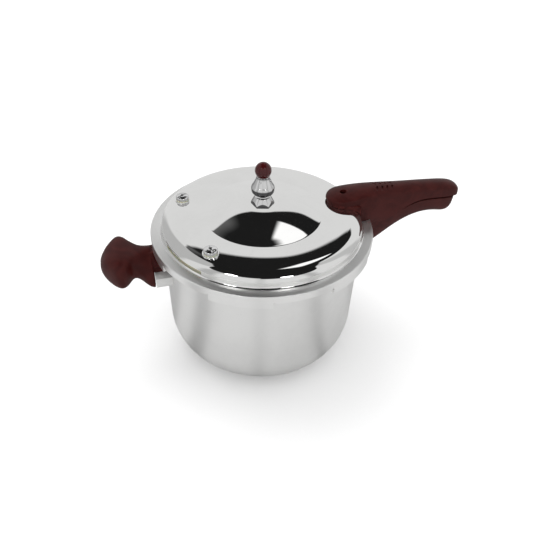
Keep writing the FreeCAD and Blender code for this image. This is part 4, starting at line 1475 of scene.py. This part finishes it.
def make_world():
    world = bpy.data.worlds.new("studio")
    world.use_nodes = True
    bpy.context.scene.world = world
    tree = world.node_tree
    tree.nodes.clear()
    way = tree.nodes.new("ShaderNodeTexCoord").outputs["Generated"]
    parts = node(tree, "SeparateXYZ", i0=way)
    height = maths(tree, "MULTIPLY", maths(tree, "ARCSINE", parts.outputs[2]), DEGREES)
    bands = use(tree, flags, Place=way)
    off_back = within_half_turn(tree, maths(tree, "ADD", bands.outputs["Bearing"], 180.0))
    edge = 0.0
    for change in CEILING_EDGE:
        edge = maths(tree, "ADD", edge, ramp(tree, off_back, *change))
    off_front = maths(tree, "ABSOLUTE", bands.outputs["Bearing"])
    edge = maths(tree, "SUBTRACT", edge, ramp(tree, off_front, *FRONT_DROP))
    shade = ramp(tree, maths(tree, "SUBTRACT", height, edge), -EDGE_SOFT, EDGE_SOFT)
    wall = maths(tree, "MULTIPLY", bands.outputs["Light left"], WALL_LIGHT)
    lit_wall = maths(tree, "MULTIPLY", wall, maths(tree, "SUBTRACT", 1.0, shade))
    sweep = add_share(tree, lit_wall, shade, CEILING_LIGHT)
    patch = maths(tree, "MULTIPLY", ramp(tree, off_back, *PATCH_BEARINGS),
                  ramp(tree, height, *PATCH_HEIGHTS, 0.0, PATCH_LIGHT))
    softbox = maths(tree, "MULTIPLY", panel(tree, off_back, SOFTBOX_SIDES), panel(tree, height, SOFTBOX_ROWS))
    seen = add_share(tree, maths(tree, "MAXIMUM", sweep, patch), softbox, SOFTBOX_LIGHT)
    for bearing_off in LAMP_BEARINGS:
        turn, lift = math.radians(BACK + 180.0 + bearing_off), math.radians(LAMP_HEIGHT)
        lamp_way = (math.cos(turn) * math.cos(lift), math.sin(turn) * math.cos(lift), math.sin(lift))
        near = node(tree, "VectorMath", set_operation="DOT_PRODUCT", i0=way, i1=lamp_way).outputs["Value"]
        seen = maths(tree, "ADD", seen, ramp(tree, near, LAMP_EDGE - LAMP_SOFT, LAMP_EDGE, 0.0, LAMP_STRENGTH))
    mirror_sky = node(tree, "Background", Strength=1.0)
    tree.links.new(seen, mirror_sky.inputs["Color"])
    room_sky = node(tree, "Background", Strength=SKY_LIGHT, Color=(1.0, 1.0, 1.0, 1.0))
    rays = node(tree, "LightPath")
    both = node(tree, "MixShader", Fac=rays.outputs["Is Glossy Ray"])
    tree.links.new(room_sky.outputs[0], both.inputs[1])
    tree.links.new(mirror_sky.outputs[0], both.inputs[2])
    out = tree.nodes.new("ShaderNodeOutputWorld")
    tree.links.new(both.outputs[0], out.inputs["Surface"])


make_world()

# %% [markdown]
# ### The key light
#
# One large round lamp behind and above the cooker gives the room's light a direction and draws a soft shadow in
# front. Reflections don't see it, because the mirror sky has its own lamps.

# %% Add the key light
KEY_PLACE, KEY_TARGET = Vector((-0.5, 0.7, 1.9)), Vector((0.0, 0.0, 0.1))
KEY_SIZE, KEY_WATTS = 1.2, 9.0


def make_key_light():
    lamp = bpy.data.lights.new("key", "AREA")
    lamp.shape = "DISK"
    lamp.size = KEY_SIZE
    lamp.energy = KEY_WATTS
    key = bpy.data.objects.new("key", lamp)
    bpy.context.collection.objects.link(key)
    key.location = KEY_PLACE
    aim = KEY_TARGET - KEY_PLACE
    key.rotation_euler = aim.to_track_quat("-Z", "Y").to_euler()
    key.visible_glossy = False


make_key_light()
bpy.context.scene.view_settings.view_transform = "Standard"

# %% [markdown]
# ### The camera
#
# The camera looks down at about forty degrees from the front, a little to the left of the long handles, with a mild
# wide lens from sixty centimetres and a slight tilt of the horizon.

# %% Place the camera
CAMERA_PLACE = Vector((-0.1210, -0.4447, 0.4846))
CAMERA_TARGET = Vector((0.0060, -0.0017, 0.1004))
CAMERA_LENS = 33.72
CAMERA_ROLL = 1.65


def make_camera():
    data = bpy.data.cameras.new("camera")
    data.lens = CAMERA_LENS
    data.sensor_width = 36.0
    data.clip_start = 0.01
    camera = bpy.data.objects.new("camera", data)
    bpy.context.collection.objects.link(camera)
    look = (CAMERA_TARGET - CAMERA_PLACE).to_track_quat("-Z", "Y")
    camera.location = CAMERA_PLACE
    camera.rotation_euler = look.to_euler()
    camera.rotation_euler.rotate_axis("Z", math.radians(CAMERA_ROLL))
    bpy.context.scene.camera = camera


make_camera()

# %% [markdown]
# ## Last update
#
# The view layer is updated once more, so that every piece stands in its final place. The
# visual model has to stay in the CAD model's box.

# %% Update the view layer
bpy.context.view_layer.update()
